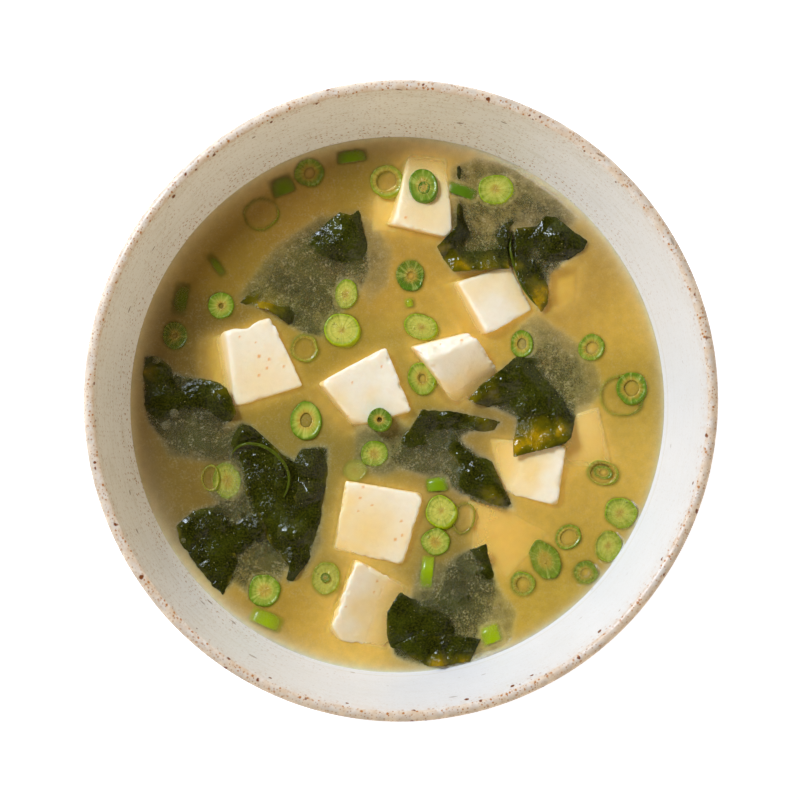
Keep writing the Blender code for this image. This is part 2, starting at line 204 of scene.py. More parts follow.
def remeshed(points, faces, voxel):
    """The closed surface's points, faces, normals and edges after a voxel remesh."""
    mesh = bpy.data.meshes.new("rough")
    mesh.from_pydata(np.asarray(points).tolist(), [], faces)
    rough = bpy.data.objects.new("rough", mesh)
    bpy.context.scene.collection.objects.link(rough)
    step = rough.modifiers.new("voxels", "REMESH")
    step.mode = "VOXEL"
    step.voxel_size = voxel
    ready = rough.evaluated_get(bpy.context.evaluated_depsgraph_get())
    fine = bpy.data.meshes.new_from_object(ready)
    new_points, new_faces = mesh_arrays(fine)
    normals = np.empty(len(new_points) * 3)
    fine.vertices.foreach_get("normal", normals)
    edges = np.empty(len(fine.edges) * 2, dtype=np.int64)
    fine.edges.foreach_get("vertices", edges)
    bpy.data.objects.remove(rough, do_unlink=True)
    bpy.data.meshes.remove(mesh)
    bpy.data.meshes.remove(fine)
    return new_points, new_faces, normals.reshape(-1, 3), edges.reshape(-1, 2)


def averaged(values, edges, rounds):
    """Values smoothed along the mesh's edges."""
    count = len(values)
    ends = np.concatenate([edges[:, 0], edges[:, 1]])
    others = np.concatenate([edges[:, 1], edges[:, 0]])
    degree = np.bincount(ends, minlength=count) + 1.0
    for _ in range(rounds):
        columns = [np.bincount(ends, values[others, k], count) for k in range(values.shape[1])]
        values = (values + np.stack(columns, axis=1)) / degree[:, None]
    return values


def edge_share(normals, edges, rounds=5):
    """How near each point is to a sharp edge: 0 on a flat face, 1 on the edge."""
    bend = 1 - np.linalg.norm(averaged(normals, edges, rounds), axis=1)
    return np.clip(bend / 0.18, 0, 1)


def cad_arrays(node):
    points, faces = mesh_arrays(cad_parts[node].data)
    return points / MM, faces


def tree_of(parts):
    """One search tree over several (points, faces)."""
    points = []
    faces = []
    for some_points, some_faces in parts:
        start = len(points)
        points += some_points.tolist()
        faces += [tuple(i + start for i in face) for face in some_faces]
    return BVHTree.FromPolygons(points, faces)


# Shader tools


class Shader:
    """A node material built around one Principled shader."""

    def __init__(self, name, **settings):
        self.material = bpy.data.materials.new(name)
        self.material.use_nodes = True
        self.tree = self.material.node_tree
        self.surface = self.tree.nodes["Principled BSDF"]
        for label, value in settings.items():
            self.surface.inputs[label.replace("_", " ")].default_value = value

    def node(self, kind, inputs=None, **settings):
        made = self.tree.nodes.new("ShaderNode" + kind)
        for label, value in settings.items():
            setattr(made, label, value)
        for label, value in (inputs or {}).items():
            self.put(made.inputs[label], value)
        return made

    def put(self, socket, value):
        if isinstance(value, bpy.types.NodeSocket):
            self.tree.links.new(value, socket)
        else:
            socket.default_value = value

    def set(self, label, value):
        self.put(self.surface.inputs[label], value)

    def place(self):
        """Where the point is, in millimetres."""
        spot = self.node("TexCoord").outputs["Object"]
        return self.node("VectorMath", {0: spot, "Scale": 1 / MM}, operation="SCALE").outputs[0]

    def stretched(self, vector, scales):
        return self.node("VectorMath", {0: vector, 1: scales}, operation="MULTIPLY").outputs[0]

    def value(self, name):
        return self.node("Attribute", attribute_name=name).outputs["Fac"]

    def colour(self, name):
        return self.node("Attribute", attribute_name=name).outputs["Color"]

    def vector(self, name):
        return self.node("Attribute", attribute_name=name).outputs["Vector"]

    def noise(self, vector, size, detail=2.0, rough=0.5):
        inputs = {"Vector": vector, "Scale": 1 / size, "Detail": detail, "Roughness": rough}
        return self.node("TexNoise", inputs).outputs["Fac"]

    def math(self, operation, a, b=0.0, c=0.0):
        return self.node("Math", {0: a, 1: b, 2: c}, operation=operation).outputs[0]

    def times(self, a, b, plus=None):
        """a times b, and plus something if it is given."""
        if plus is None:
            return self.math("MULTIPLY", a, b)
        return self.math("MULTIPLY_ADD", a, b, plus)

    def range(self, value, low, high, to_low=0.0, to_high=1.0):
        inputs = {"Value": value, "From Min": low, "From Max": high, "To Min": to_low, "To Max": to_high}
        return self.node("MapRange", inputs, interpolation_type="SMOOTHSTEP").outputs[0]

    def mix(self, share, a, b, blend_type="MIX"):
        made = self.node("Mix", data_type="RGBA", blend_type=blend_type, clamp_factor=True)
        self.put(made.inputs[0], share)
        self.put(made.inputs[6], a)
        self.put(made.inputs[7], b)
        return made.outputs[2]

    def spots(self, vector, cell, radius, share, soft=0.5, wander=0.3, flat=False):
        """Scattered round spots: one in each cell at most, of mixed sizes, in a share of the cells.

        Flat ones are placed by x and y alone.
        """
        shift = self.node("TexNoise", {"Vector": vector, "Scale": 2.2 / cell, "Detail": 1.0}).outputs["Color"]
        shift = self.node("VectorMath", {0: shift, "Scale": wander * cell}, operation="SCALE").outputs[0]
        moved = self.node("VectorMath", {0: vector, 1: shift}, operation="ADD").outputs[0]
        inputs = {"Vector": moved, "Scale": 1 / cell, "Randomness": 1.0}
        cells = self.node("TexVoronoi", inputs, voronoi_dimensions="2D" if flat else "3D")
        parts = self.node("SeparateColor", {"Color": cells.outputs["Color"]})
        far = self.times(cells.outputs["Distance"], cell)
        size = self.times(parts.outputs["Green"], radius * 0.7, radius * 0.3)
        inside = self.math("DIVIDE", far, size)
        spot = self.range(inside, 1.0, 1.0 - soft)
        picked = self.math("LESS_THAN", parts.outputs["Red"], share)
        return self.times(spot, picked)

    def bump(self, height, distance, strength=1.0):
        inputs = {"Height": height, "Distance": distance * MM, "Strength": strength}
        self.set("Normal", self.node("Bump", inputs).outputs["Normal"])


def linear(red, green, blue):
    """A linear colour from everyday 0 to 255 values."""
    shares = np.array((red, green, blue)) / 255
    return np.where(shares <= 0.04045, shares / 12.92, ((shares + 0.055) / 1.055) ** 2.4)


def rgb(red, green, blue):
    """The same for a shader's socket."""
    return (*linear(red, green, blue).tolist(), 1.0)


# Materials


def wall_glaze(s, place, wrap, shade_side):
    """Off-white with streaks and fine specks, stained near the soup, and painted lighter on the side in
    shade.
    """
    # painted light: the side away from the light gets a lighter copy of the glaze, which paints out part of
    # its shade
    lit_side_glaze = s.mix(s.noise(place, 14, 3), rgb(218, 219, 220), rgb(227, 228, 230))
    shade_side_glaze = s.mix(s.noise(place, 14, 3), rgb(229, 230, 228), rgb(239, 240, 239))
    glaze = s.mix(shade_side, lit_side_glaze, shade_side_glaze)
    streaks = s.range(s.noise(s.stretched(wrap, (0.12, 1.0, 1)), 1.0, 3), 0.45, 0.75, 0, 0.35)
    streaks = s.times(streaks, s.times(shade_side, 0.7, 0.3))
    glaze = s.mix(streaks, glaze, rgb(204, 199, 182))
    # small brown dashes along the turning, thickest on one side and in a band just above the soup
    grain = s.spots(s.stretched(wrap, (0.55, 1, 1)), 0.72, 0.22, 0.66, 0.6, flat=True)
    grain_area = s.range(s.noise(place, 6, 2), 0.36, 0.60, 0.30, 1.0)
    grain_area = s.times(grain_area, s.times(shade_side, 0.42, 0.12))
    grain_area = s.times(s.value("tide"), s.times(shade_side, 0.75), grain_area)
    glaze = s.mix(s.times(grain, grain_area), glaze, rgb(166, 118, 60))
    sand = s.spots(s.stretched(wrap, (0.6, 1, 1)), 0.62, 0.22, 0.5, 0.8, flat=True)
    glaze = s.mix(s.times(sand, s.times(shade_side, 0.30, 0.06)), glaze, rgb(150, 126, 90))
    # a thin film of soup has dried on the wall just above the soup, on the side toward the light
    height = s.node("SeparateXYZ", {0: place}).outputs["Z"]
    film = s.range(s.math("ABSOLUTE", s.math("SUBTRACT", height, LEVEL + 1.5)), 0.0, 0.28, 0.55, 0.0)
    film = s.times(s.times(film, s.value("tide")), s.math("SUBTRACT", 1.0, shade_side))
    glaze = s.mix(film, glaze, rgb(206, 200, 180))
    # painted shade: the outside is painted a warmer, darker glaze than the inside
    return s.mix(s.value("outside_shade"), glaze, rgb(162, 145, 126))


def lip_glaze(s, glaze, place, wrap):
    """Thin glaze on the lip lets the clay show, and rust gathers along its edge."""
    lip = s.value("lip")
    lip_share = s.times(lip, s.range(s.noise(place, 2.6, 4), 0.36, 0.62, 0.35, 1.0))
    glaze = s.mix(lip_share, glaze, rgb(222, 208, 190))
    dust = s.spots(wrap, 0.80, 0.32, 0.75, 0.6, flat=True)
    dust = s.times(dust, s.times(lip, s.range(s.noise(place, 1.9, 2), 0.35, 0.6, 0.30, 0.85)))
    glaze = s.mix(dust, glaze, rgb(160, 112, 68))
    edging = s.times(s.value("rust"), s.range(s.noise(place, 1.4, 3), 0.35, 0.65, 0.05, 0.34))
    glaze = s.mix(edging, glaze, rgb(196, 160, 116))
    rust = s.spots(wrap, 1.1, 0.42, 0.55, 0.5, flat=True)
    rust_area = s.times(s.range(s.noise(place, 3.0, 2), 0.34, 0.54), s.value("rust"))
    return s.mix(s.times(rust, s.math("MINIMUM", rust_area, 1.0)), glaze, rgb(172, 110, 40))


def stoneware():
    """Off-white glaze with iron specks, thin and brown on the lip, and bare clay under the foot."""
    s = Shader("stoneware", Roughness=0.36, IOR=1.5)
    place = s.place()
    wrap = s.vector("wrap")
    shade_side = s.value("shade_side")
    glaze = lip_glaze(s, wall_glaze(s, place, wrap, shade_side), place, wrap)
    # iron specks, drawn out along the turning on the walls
    specks = s.spots(s.stretched(wrap, (0.36, 1, 1)), 3.0, 0.42, 0.45, 0.35)
    specks = s.times(specks, s.times(shade_side, 0.30, 0.4))
    glaze = s.mix(specks, glaze, rgb(112, 78, 36))
    # larger ones only on the lip and outside
    dots = s.spots(place, 2.4, 0.66, 0.5, 0.35)
    dots = s.times(dots, s.math("GREATER_THAN", s.value("rust"), 0.16))
    glaze = s.mix(dots, glaze, rgb(118, 62, 22))
    clay = s.mix(s.noise(place, 1.2, 4), rgb(176, 146, 112), rgb(150, 120, 88))
    clay = s.mix(s.spots(place, 1.4, 0.3, 0.5), clay, rgb(92, 62, 38))
    bare = s.value("bare")
    s.set("Base Color", s.mix(bare, glaze, clay))
    s.set("Roughness", s.range(bare, 0, 1, 0.36, 0.85))
    rough = s.math("ADD", s.noise(place, 2.8, 3), s.times(s.noise(place, 0.5, 2), 0.2))
    pits = s.times(s.math("ADD", specks, dots), -0.4)
    s.bump(s.math("ADD", rough, pits), 0.10)
    return s.material


def tofu_material():
    s = Shader("tofu", Roughness=0.42, IOR=1.4, Subsurface_Weight=0.8, Subsurface_Scale=0.0016)
    s.set("Subsurface Radius", (1.0, 0.85, 0.7))
    place = s.place()
    curd = s.mix(s.range(s.noise(place, 1.6, 4), 0.35, 0.7, 0, 0.12), s.colour("curd"), rgb(226, 198, 152))
    pores = s.spots(place, 1.1, 0.20, 0.25, 0.8)
    s.set("Base Color", s.mix(s.times(pores, 0.18), curd, rgb(196, 160, 112)))
    relief = s.math("ADD", s.noise(place, 0.7, 3), s.times(pores, -0.5))
    s.bump(relief, 0.08)
    s.set("Roughness", s.range(s.noise(place, 3, 2), 0.35, 0.65, 0.28, 0.5))
    # some light goes through, so the shadows on the soup are faint
    s.set("Alpha", s.times(s.node("LightPath").outputs["Is Shadow Ray"], -0.7, 1.0))
    return s.material


def wakame_material():
    s = Shader("wakame", Roughness=0.10, IOR=1.40, Specular_IOR_Level=0.30)
    place = s.place()
    vein = s.noise(place, 1.3, 4)
    leaf = s.mix(s.range(vein, 0.35, 0.7, 0.0, 0.35), s.colour("leaf"), rgb(22, 26, 4))
    leaf = s.mix(s.range(s.noise(place, 0.40, 2), 0.35, 0.65, 0.0, 0.30), leaf, rgb(92, 92, 18))
    # grains of miso left on it
    grains = s.range(s.noise(place, 2.6, 3), 0.38, 0.6, 0.05, 0.7)
    grains = s.times(s.spots(place, 0.70, 0.19, 0.5, 0.8), grains)
    s.set("Base Color", s.mix(grains, leaf, rgb(176, 164, 104)))
    # nothing glints under the soup
    over = s.value("over")
    wet = s.range(s.noise(place, 0.9, 2), 0.3, 0.7, 0.05, 0.13)
    s.set("Roughness", s.times(s.math("SUBTRACT", wet, 0.9), over, 0.9))
    # some light goes through
    s.set("Alpha", s.times(s.node("LightPath").outputs["Is Shadow Ray"], -0.4, 1.0))
    # small blisters that each catch the light
    blisters = s.spots(place, 1.0, 0.34, 0.6, 1.0)
    blisters = s.times(blisters, s.range(s.noise(place, 3.4, 2), 0.40, 0.56))
    crinkle = s.times(s.noise(place, 0.62, 2), s.range(s.noise(place, 4.4, 2), 0.40, 0.62, 0.4, 2.2))
    relief = s.times(blisters, 1.0, s.math("ADD", crinkle, s.noise(place, 1.6, 2)))
    s.bump(s.times(relief, over), 0.17)
    return s.material


def onion_material():
    s = Shader("spring_onion", IOR=1.4, Specular_IOR_Level=0.42)
    polar = s.vector("polar")
    # pale fibres run out from the middle, with darker green between them
    fibre = s.noise(s.stretched(polar, (4.5, 4.5, 0.9)), 1.0, 2)
    fine = s.noise(s.stretched(polar, (11, 11, 1.6)), 1.0, 1)
    flesh = s.mix(s.range(fibre, 0.48, 0.66, 0, 0.32), s.colour("flesh"), rgb(212, 214, 112))
    flesh = s.mix(s.range(fine, 0.50, 0.70, 0, 0.34), flesh, rgb(70, 100, 6))
    face = s.value("cut")
    s.set("Base Color", s.mix(face, s.colour("flesh"), flesh))
    # beads of wet on the cut face
    place = s.place()
    beads = s.times(s.spots(place, 1.15, 0.40, 0.42, 1.0), face)
    relief = s.times(beads, 1.2, s.times(fine, 0.25, s.times(fibre, 0.3)))
    s.bump(s.times(face, relief), 0.18)
    s.set("Roughness", s.times(beads, -0.20, 0.24))
    return s.material


def broth_material():
    """Cloudy broth: what lies just under the surface shows through it, and haze hides what is deeper."""
    s = Shader("broth", Roughness=0.10, IOR=1.34, Subsurface_Weight=0.65, Subsurface_Scale=0.003)
    s.set("Subsurface Radius", (1.0, 0.7, 0.35))
    place = s.place()
    # fine grains of miso, gathered in clouds
    fine = s.range(s.noise(place, 0.26, 1), 0.25, 0.75)
    clouds = s.range(s.noise(place, 1.9, 3), 0.30, 0.70)
    haze = s.value("haze")
    mottle = s.times(clouds, 0.10, s.times(fine, 0.07, 0.915))
    tint = s.mix(1.0, s.colour("tint"), mottle, "MULTIPLY")
    # pale grains and mist drift just under the surface, and show where something dark lies below
    mist = s.range(s.noise(place, 2.6, 3), 0.34, 0.66, 0.2, 1.0)
    speckle = s.range(s.noise(place, 0.46, 3, 0.7), 0.48, 0.68)
    dots = s.spots(place, 0.62, 0.18, 0.40, 0.7, flat=True)
    grains = s.math("MAXIMUM", s.times(dots, 0.6), s.times(speckle, mist))
    grains_share = s.times(haze, 0.40, 0.14)
    s.set("Base Color", s.mix(s.times(grains, grains_share), tint, rgb(222, 214, 178)))
    # haze over a leaf is uneven, from thick to thin
    fog = s.value("fog")
    clear = s.math("SUBTRACT", 1.0, fog)
    between = s.times(s.times(fog, haze), clear)
    swing = s.times(fine, 0.8, s.times(clouds, 0.9, -0.85))
    fog = s.times(between, swing, fog)
    shown = s.times(s.times(grains, haze), s.range(s.value("fog"), 0.0, 0.15, 0.0, 0.6))
    fog = s.times(clear, shown, fog)
    solid = s.math("SUBTRACT", 1.0, s.node("LightPath").outputs["Is Shadow Ray"])
    s.set("Alpha", s.times(s.math("MINIMUM", fog, 1.0), solid))
    s.bump(s.noise(place, 5, 2), 0.10)
    return s.material


def bubble_material():
    s = Shader("bubble", Roughness=0.04, IOR=1.33, Alpha=0.12)
    s.set("Base Color", rgb(230, 220, 170))
    return s.material


# Bowl


def inner_radius(height):
    share = np.maximum(0, (np.asarray(height, dtype=float) - INSIDE_FLOOR) / (RIM_HEIGHT - INSIDE_FLOOR))
    return RIM_RADIUS * share**CURVE_POWER


def stretch(height):
    """How much wider the bowl is one way at a height, and narrower the other."""
    return np.sqrt(1 + (OVAL - 1) * (np.clip(height, 0, None) / RIM_HEIGHT) ** 4)


def bowl_profile():
    """Radius and height from the middle inside, over the lip, to the middle underneath.

    Also the row where the lip starts, and the one after its last.
    """
    share = np.arange(PROFILE_STEPS + 1) / PROFILE_STEPS
    heights = INSIDE_FLOOR + (RIM_HEIGHT - INSIDE_FLOOR) * share**2
    inside = np.stack([inner_radius(heights), heights], axis=1)
    walls = WALL + (LIP_WALL - WALL) * share**8
    along = np.gradient(inside, axis=0)
    along[0] = (1, 0)
    along /= np.linalg.norm(along, axis=1)[:, None]
    outside = inside + np.stack([along[:, 1], -along[:, 0]], axis=1) * walls[:, None]
    middle = (inside[-1] + outside[-1]) / 2
    across = (outside[-1] - inside[-1]) / 2
    upward = np.array([-across[1], across[0]])
    turn = np.linspace(0.25, pi - 0.25, LIP_STEPS)[:, None]
    lip = middle - across * np.cos(turn) + upward * np.sin(turn)
    side = outside[::-1]
    side = side[side[:, 0] > FOOT_RADIUS + 0.6]
    foot_inside = FOOT_RADIUS - FOOT_WIDTH
    low = side[-1][1]
    foot = [
        (FOOT_RADIUS + 0.25, low - 0.9),
        (FOOT_RADIUS + 0.05, low - 2.0),
        (FOOT_RADIUS, FOOT_EDGE + 0.6),
        (FOOT_RADIUS - 0.15, FOOT_EDGE - 0.4),
        (FOOT_RADIUS - FOOT_EDGE * 0.6, 0.1),
        (FOOT_RADIUS - FOOT_EDGE, 0),
        (FOOT_RADIUS - FOOT_WIDTH / 2, 0),
        (foot_inside + FOOT_EDGE, 0),
        (foot_inside + FOOT_EDGE * 0.5, 0.1),
        (foot_inside + 0.1, FOOT_EDGE - 0.3),
        (foot_inside - 0.2, FOOT_RECESS - 1.2),
        (foot_inside - FOOT_EDGE, FOOT_RECESS - 0.2),
        (foot_inside - 2.2, FOOT_RECESS),
    ]
    recess = [(r, FOOT_RECESS) for r in (18.0, 12.0, 6.0)]
    points = np.array([*inside, *lip, *side, *foot, *recess, (0, FOOT_RECESS)])
    return points, len(inside), len(inside) + len(lip)


def round_noise(angle, frequency, seed, height=0.0):
    """Noise that goes once round the bowl without a seam."""
    return flat_noise(np.cos(angle) * frequency, np.sin(angle) * frequency + height * 0.05, 1.0, seed, 2)


def thrown(row, radius, height, angle, lip_start, lip_end):
    """The turned bowl's points, with throwing rings and a rim that is a little uneven."""
    # faint rings outside, fainter inside
    below_lip = smooth_step(lip_end, lip_end + 8, row) * (height > 6)
    drift = round_noise(angle, 2, 11, height)
    spacing, ring_depth = RINGS_OUTSIDE
    rings = np.sin(height * 2 * pi / spacing + drift * 2.5) * (0.7 + 0.5 * drift)
    radius = radius + below_lip * ring_depth * rings
    over_soup = (row < lip_start) * smooth_step(LEVEL - 2, LEVEL + 3, height)
    spacing, ring_depth = RINGS_INSIDE
    radius += over_soup * ring_depth * np.sin(height * 2 * pi / spacing + drift * 3)
    near_rim = smooth_step(RIM_HEIGHT - NEAR_RIM, RIM_HEIGHT, height)
    height = height + round_noise(angle, 3, 5) * RIM_WAVES * near_rim
    radius += near_rim * RIM_WANDER * round_noise(angle, 5, 9)
    widen = stretch(height)
    along = radius * np.cos(angle - OVAL_ANGLE) * widen
    across = radius * np.sin(angle - OVAL_ANGLE) / widen
    x = along * cos(OVAL_ANGLE) - across * sin(OVAL_ANGLE) + near_rim * RIM_SHIFT[0]
    y = along * sin(OVAL_ANGLE) + across * cos(OVAL_ANGLE) + near_rim * RIM_SHIFT[1]
    return np.stack([x, y, height], axis=-1)


def glaze_shares(row, height, angle, lip_start, lip_end):
    """Where the lip is thin-glazed, where rust gathers, where the soup has been, where the clay is bare.

    Also how far the wall is on the side in shade, where specks gather and the glaze is painted lighter, and
    how much painted shade darkens the outside.
    """
    lip = smooth_step(lip_start - 1.5, lip_start + 1.0, row)
    lip = lip * (1 - smooth_step(lip_end - 1, lip_end + 2, row))
    rust = np.exp(-(((row - lip_start - 0.8) / 2.2) ** 2)) + 0.50 * lip
    bare_line = BARE_HEIGHT + 0.5 * round_noise(angle, 8, 3)
    # painted shade: how much darker the outside is painted, a little more near the rim
    outside_shade = 0.82 + 0.08 * np.exp((height - RIM_HEIGHT) / 8)
    return {
        "lip": lip,
        "rust": np.maximum(rust, 0.22 * (row >= lip_start)),
        "tide": np.exp(-(((height - LEVEL - 2.5) / 2.6) ** 2)) * (row < lip_start),
        "bare": (1 - smooth_step(bare_line, bare_line + 0.5, height)) * (row > lip_end),
        # the side away from the light: its glaze is painted lighter there as painted light, and its specks
        # are thicker
        "shade_side": smooth_step(-0.75, 0.45, np.cos(angle - LIGHT_FROM)),
        "outside_shade": smooth_step(lip_start + 1, lip_start + 6, row) * outside_shade,
    }


def glazed_bowl(material):
    profile, lip_start, lip_end = bowl_profile()
    radius, height, angle = spun(profile[1:-1], BOWL_TURNS)
    rows = len(profile) - 2
    row = np.arange(1, rows + 1)[:, None] * np.ones(BOWL_TURNS)
    grid = thrown(row, radius, height, angle, lip_start, lip_end)
    points = np.concatenate([grid.reshape(-1, 3), [(0, 0, profile[0, 1]), (0, 0, profile[-1, 1])]])
    piece = add_piece("bowl_glazed", points, capped(rows, BOWL_TURNS), material, ["bowl"])
    for name, values in glaze_shares(row, grid[..., 2], angle, lip_start, lip_end).items():
        give_values(piece, name, np.append(values, (0, 0)))
    wrap_attribute(piece, profile, BOWL_TURNS, rows)


def wrap_attribute(piece, profile, turns, rows):
    """Gives each face corner its way round and its way along the profile, both in millimetres."""
    lengths = np.concatenate([[0], np.cumsum(np.linalg.norm(np.diff(profile, axis=0), axis=1))])
    mesh = piece.data
    loops = np.empty(len(mesh.loops), dtype=np.int64)
    mesh.loops.foreach_get("vertex_index", loops)
    column = np.where(loops < turns * rows, loops % turns, 0)
    row = np.where(loops < turns * rows, loops // turns + 1, np.where(loops == turns * rows, 0, rows + 1))
    starts = np.empty(len(mesh.polygons), dtype=np.int64)
    totals = np.empty(len(mesh.polygons), dtype=np.int64)
    mesh.polygons.foreach_get("loop_start", starts)
    mesh.polygons.foreach_get("loop_total", totals)
    seam = np.maximum.reduceat(column, starts) - np.minimum.reduceat(column, starts) > turns / 2
    seam = np.repeat(seam, totals)
    around = np.where(seam & (column < turns / 2), column + turns, column) * 2 * pi / turns
    wrap = np.stack([around * RIM_RADIUS, lengths[row], np.zeros(len(loops))], axis=1)
    give_vectors(piece, "wrap", wrap, "CORNER")


# Tofu

CURD_WHITE = linear(252, 239, 220)
CURD_CREAM = linear(252, 218, 152)
CURD_WET = linear(238, 206, 132)
SOUP_DIMS = np.array([0.02, 0.055, 0.46])  # how fast red, green and blue fade with depth
TOFU_VOXEL = 0.33
SPECK_BROWN = linear(232, 166, 70)
# Brown specks on the blocks' tops: x, y and radius
SPECKS = [
    (-31.4, 10.6, 0.42), (-29.1, 9.9, 0.32), (-29.6, 7.9, 0.34), (-32.1, 13.7, 0.25), (-25.8, 8.3, 0.3),
    (-31.4, 6.3, 0.3), (-35.7, 14.9, 0.25), (-3.8, 8.3, 0.3), (-10.4, 4.7, 0.28), (-11.3, -2.8, 0.25),
    (1.6, 42.0, 0.34), (14.2, 14.2, 0.3), (9.5, 13.3, 0.25), (-7.9, -18.8, 0.3), (-8.6, -21.3, 0.34),
    (-5.9, -22.9, 0.3), (-9.0, -24.2, 0.28), (0.7, -26.5, 0.34), (0.9, -29.7, 0.3), (-0.7, -30.6, 0.42),
    (-4.7, -40.0, 0.3), (-5.4, -42.5, 0.28), (-11.8, -45.7, 0.3), (21.5, -30.1, 0.4),
]
# Where soup lies over a block: x, y, spread and how much
FILMS = [
    (-7.0, -29.0, 8.0, 1.0), (-12.0, -25.0, 5.0, 0.9), (-31.0, 4.0, 9.0, 0.6), (6.0, 44.0, 9.0, 0.8),
    (17.0, 26.0, 4.0, 0.6), (-3.0, -40.0, 5.0, 0.4), (-6.0, -49.0, 4.0, 0.3), (24.0, -12.0, 6.0, 0.8),
    (18.0, 5.0, 5.0, 1.0), (-15.0, 0.0, 4.0, 0.8), (20.6, 4.0, 5.0, 1.0),
]
# Tofu right under the surface: four corners of its top as x, y and depth, and how thick it is
SUNK_TOFU = {
    "a_side": ([(-37.2, 15.6, -0.9), (-35.4, -0.4, -1.0), (-39.4, -1.6, -3.4), (-41.8, 6.0, -3.4)], 4),
    "c_side": ([(0.6, 50.6, -1.4), (0.2, 38.8, -1.5), (-5.8, 39.2, -2.3), (-6.2, 46.6, -2.5)], 5),
    "i": ([(16.6, -33.6, -1.4), (24.6, -39.8, -1.6), (34.6, -29.2, -2.6), (15.6, -19.0, -1.2)], 8),
    "j": ([(37.6, -14.4, -1.2), (48.8, -14.2, -1.6), (45.6, -0.2, -0.7), (38.6, -3.0, -0.7)], 8),
    "k": ([(30.4, 20.4, -1.8), (40.4, 23.0, -3.0), (41.0, 32.0, -3.4), (33.0, 31.0, -2.6)], 6),
}


def curd_colours(points, normals, share):
    """White where the block stands proud, creamy under a film of soup, yellow under the surface."""
    over = points[:, 2] - LEVEL
    film = 1 - smooth_step(-0.2, 2.4, over + 0.9 * noise(points, 4, 21, 2))
    for x, y, spread, strength in FILMS:
        near = away_from(points, x, y)
        film = np.maximum(film, strength * np.exp(-((near / spread) ** 2)))
    film = np.clip(film * (1 - 0.5 * share), 0, 1)
    colours = blend(CURD_WHITE, CURD_CREAM, film)
    side = 1 - smooth_step(0.45, 0.75, normals[:, 2])
    colours = blend(colours, CURD_WET, side * (1 - smooth_step(0.6, 2.4, over)))
    depth = np.clip(-over, 0, 12)[:, None]
    colours = colours * np.exp(-depth * SOUP_DIMS)
    for x, y, radius in SPECKS:
        near = away_from(points, x, y)
        dark = (1 - smooth_step(radius * 0.5, radius * 1.25, near)) * 0.8
        colours = blend(colours, SPECK_BROWN, dark)
    return colours


# Notches in the outline: x, y, spread, and how far it is pushed in along x and y
NOTCHES = [(-34.6, 18.2, 1.9, 0.3, -0.9), (-15.6, 8.4, 1.2, 0.4, -0.3), (0.2, 13.0, 0.9, -0.2, -0.5)]
CRUMBLE = 0.8  # how far a block's edges crumble
CRUMBLES = {"tofu_b": 1.5, "tofu_e": 1.7, "tofu_g": 1.2, "tofu_h": 1.5}  # those that crumble more
# A facet that is broken rather than cut, by the way it faces
BROKEN = {"tofu_e": (-0.22, 0.50, 0.84), "tofu_h": (-0.86, 0.30, 0.40)}


def worn(points, normals, edges, seed, crumble, broken=None):
    """Warps the faces a little, pits them finely and crumbles the edges. Returns the edge share too."""
    share = edge_share(normals, edges)
    move = 0.10 * noise(points, 6, seed, 2) + 0.05 * noise(points, 0.9, seed + 1, 2)
    bites = np.clip(noise(points, 1.5, seed + 2, 2) - 0.05, 0, 1)
    move -= crumble * share * bites
    if broken:
        facing = smooth_step(0.93, 0.99, normals @ np.array(broken))
        move += facing * (0.55 * noise(points, 2.4, seed + 3, 2) + 0.25 * noise(points, 1.0, seed + 4))
    points = points + normals * move[:, None]
    for x, y, spread, push_x, push_y in NOTCHES:
        near = away_from(points, x, y)
        points += np.exp(-((near / spread) ** 2))[:, None] * (push_x, push_y, 0)
    return points, share


def curd_blocks(material):
    """The proud blocks, then the sunk ones. Returns their points and faces."""
    parts = []
    for number, node in enumerate(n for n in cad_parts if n.startswith("tofu")):
        points, faces, normals, edges = remeshed(*cad_arrays(node), TOFU_VOXEL)
        points, share = worn(
            points, normals, edges, 40 + 5 * number, CRUMBLES.get(node, CRUMBLE), BROKEN.get(node)
        )
        piece = add_piece("curd_" + node[-1], points, faces, material, [node])
        give_colours(piece, "curd", curd_colours(points, normals, share))
        parts.append((points, faces))
    for number, (name, (top, thick)) in enumerate(SUNK_TOFU.items()):
        top = np.array(top) + (0, 0, LEVEL)
        low = top + (0, 0, -thick)
        sides = [(k, k + 4, (k + 1) % 4 + 4, (k + 1) % 4) for k in range(4)]
        box = [(0, 1, 2, 3), (7, 6, 5, 4), *sides]
        points, faces, normals, edges = remeshed(np.concatenate([top, low]), box, TOFU_VOXEL)
        points, share = worn(points, normals, edges, 140 + 5 * number, 0.25)
        piece = add_piece("sunk_curd_" + name, points, faces, material)
        give_colours(piece, "curd", curd_colours(points, normals, share))
        parts.append((points, faces))
    return parts


# Wakame

LEAF_DARK = linear(24, 26, 3)
LEAF_MOSS = linear(54, 60, 8)
LEAF_OLIVE = linear(98, 88, 4)
LEAF_GOLD = linear(184, 144, 4)
LEAF_VOXEL = 0.34
LEAF_THICK = 0.7
DROOP_REACH = 2.2  # how far in from its outline a sunk leaf droops
# Thin, translucent patches: x, y, spread and strength
THIN_PATCHES = [
    (33.0, 25.5, 4.0, 1.0), (31.8, 22.4, 3.0, 1.0), (31.6, -8.0, 4.5, 1.0), (36.6, -6.0, 3.0, 0.9),
    (27.5, -9.5, 4.0, 1.0), (20.0, -4.2, 4.0, 0.5), (21.5, -22.0, 3.0, 0.6), (14.0, 31.6, 3.4, 0.8),
    (20.0, 30.6, 3.2, 0.7), (26.4, 30.8, 2.6, 0.8), (9.6, -60.0, 4.0, 0.9), (3.0, -59.4, 3.0, 0.8),
    (15.4, -58.8, 3.0, 0.8), (17.6, 0.6, 2.6, 0.7), (21.6, 1.6, 2.4, 0.5), (9.6, 35.6, 2.4, 0.7),
    (-56.4, 8.0, 2.0, 0.6), (-38.4, 2.4, 2.4, 0.4), (-31.0, 22.0, 5.0, 0.8),
]
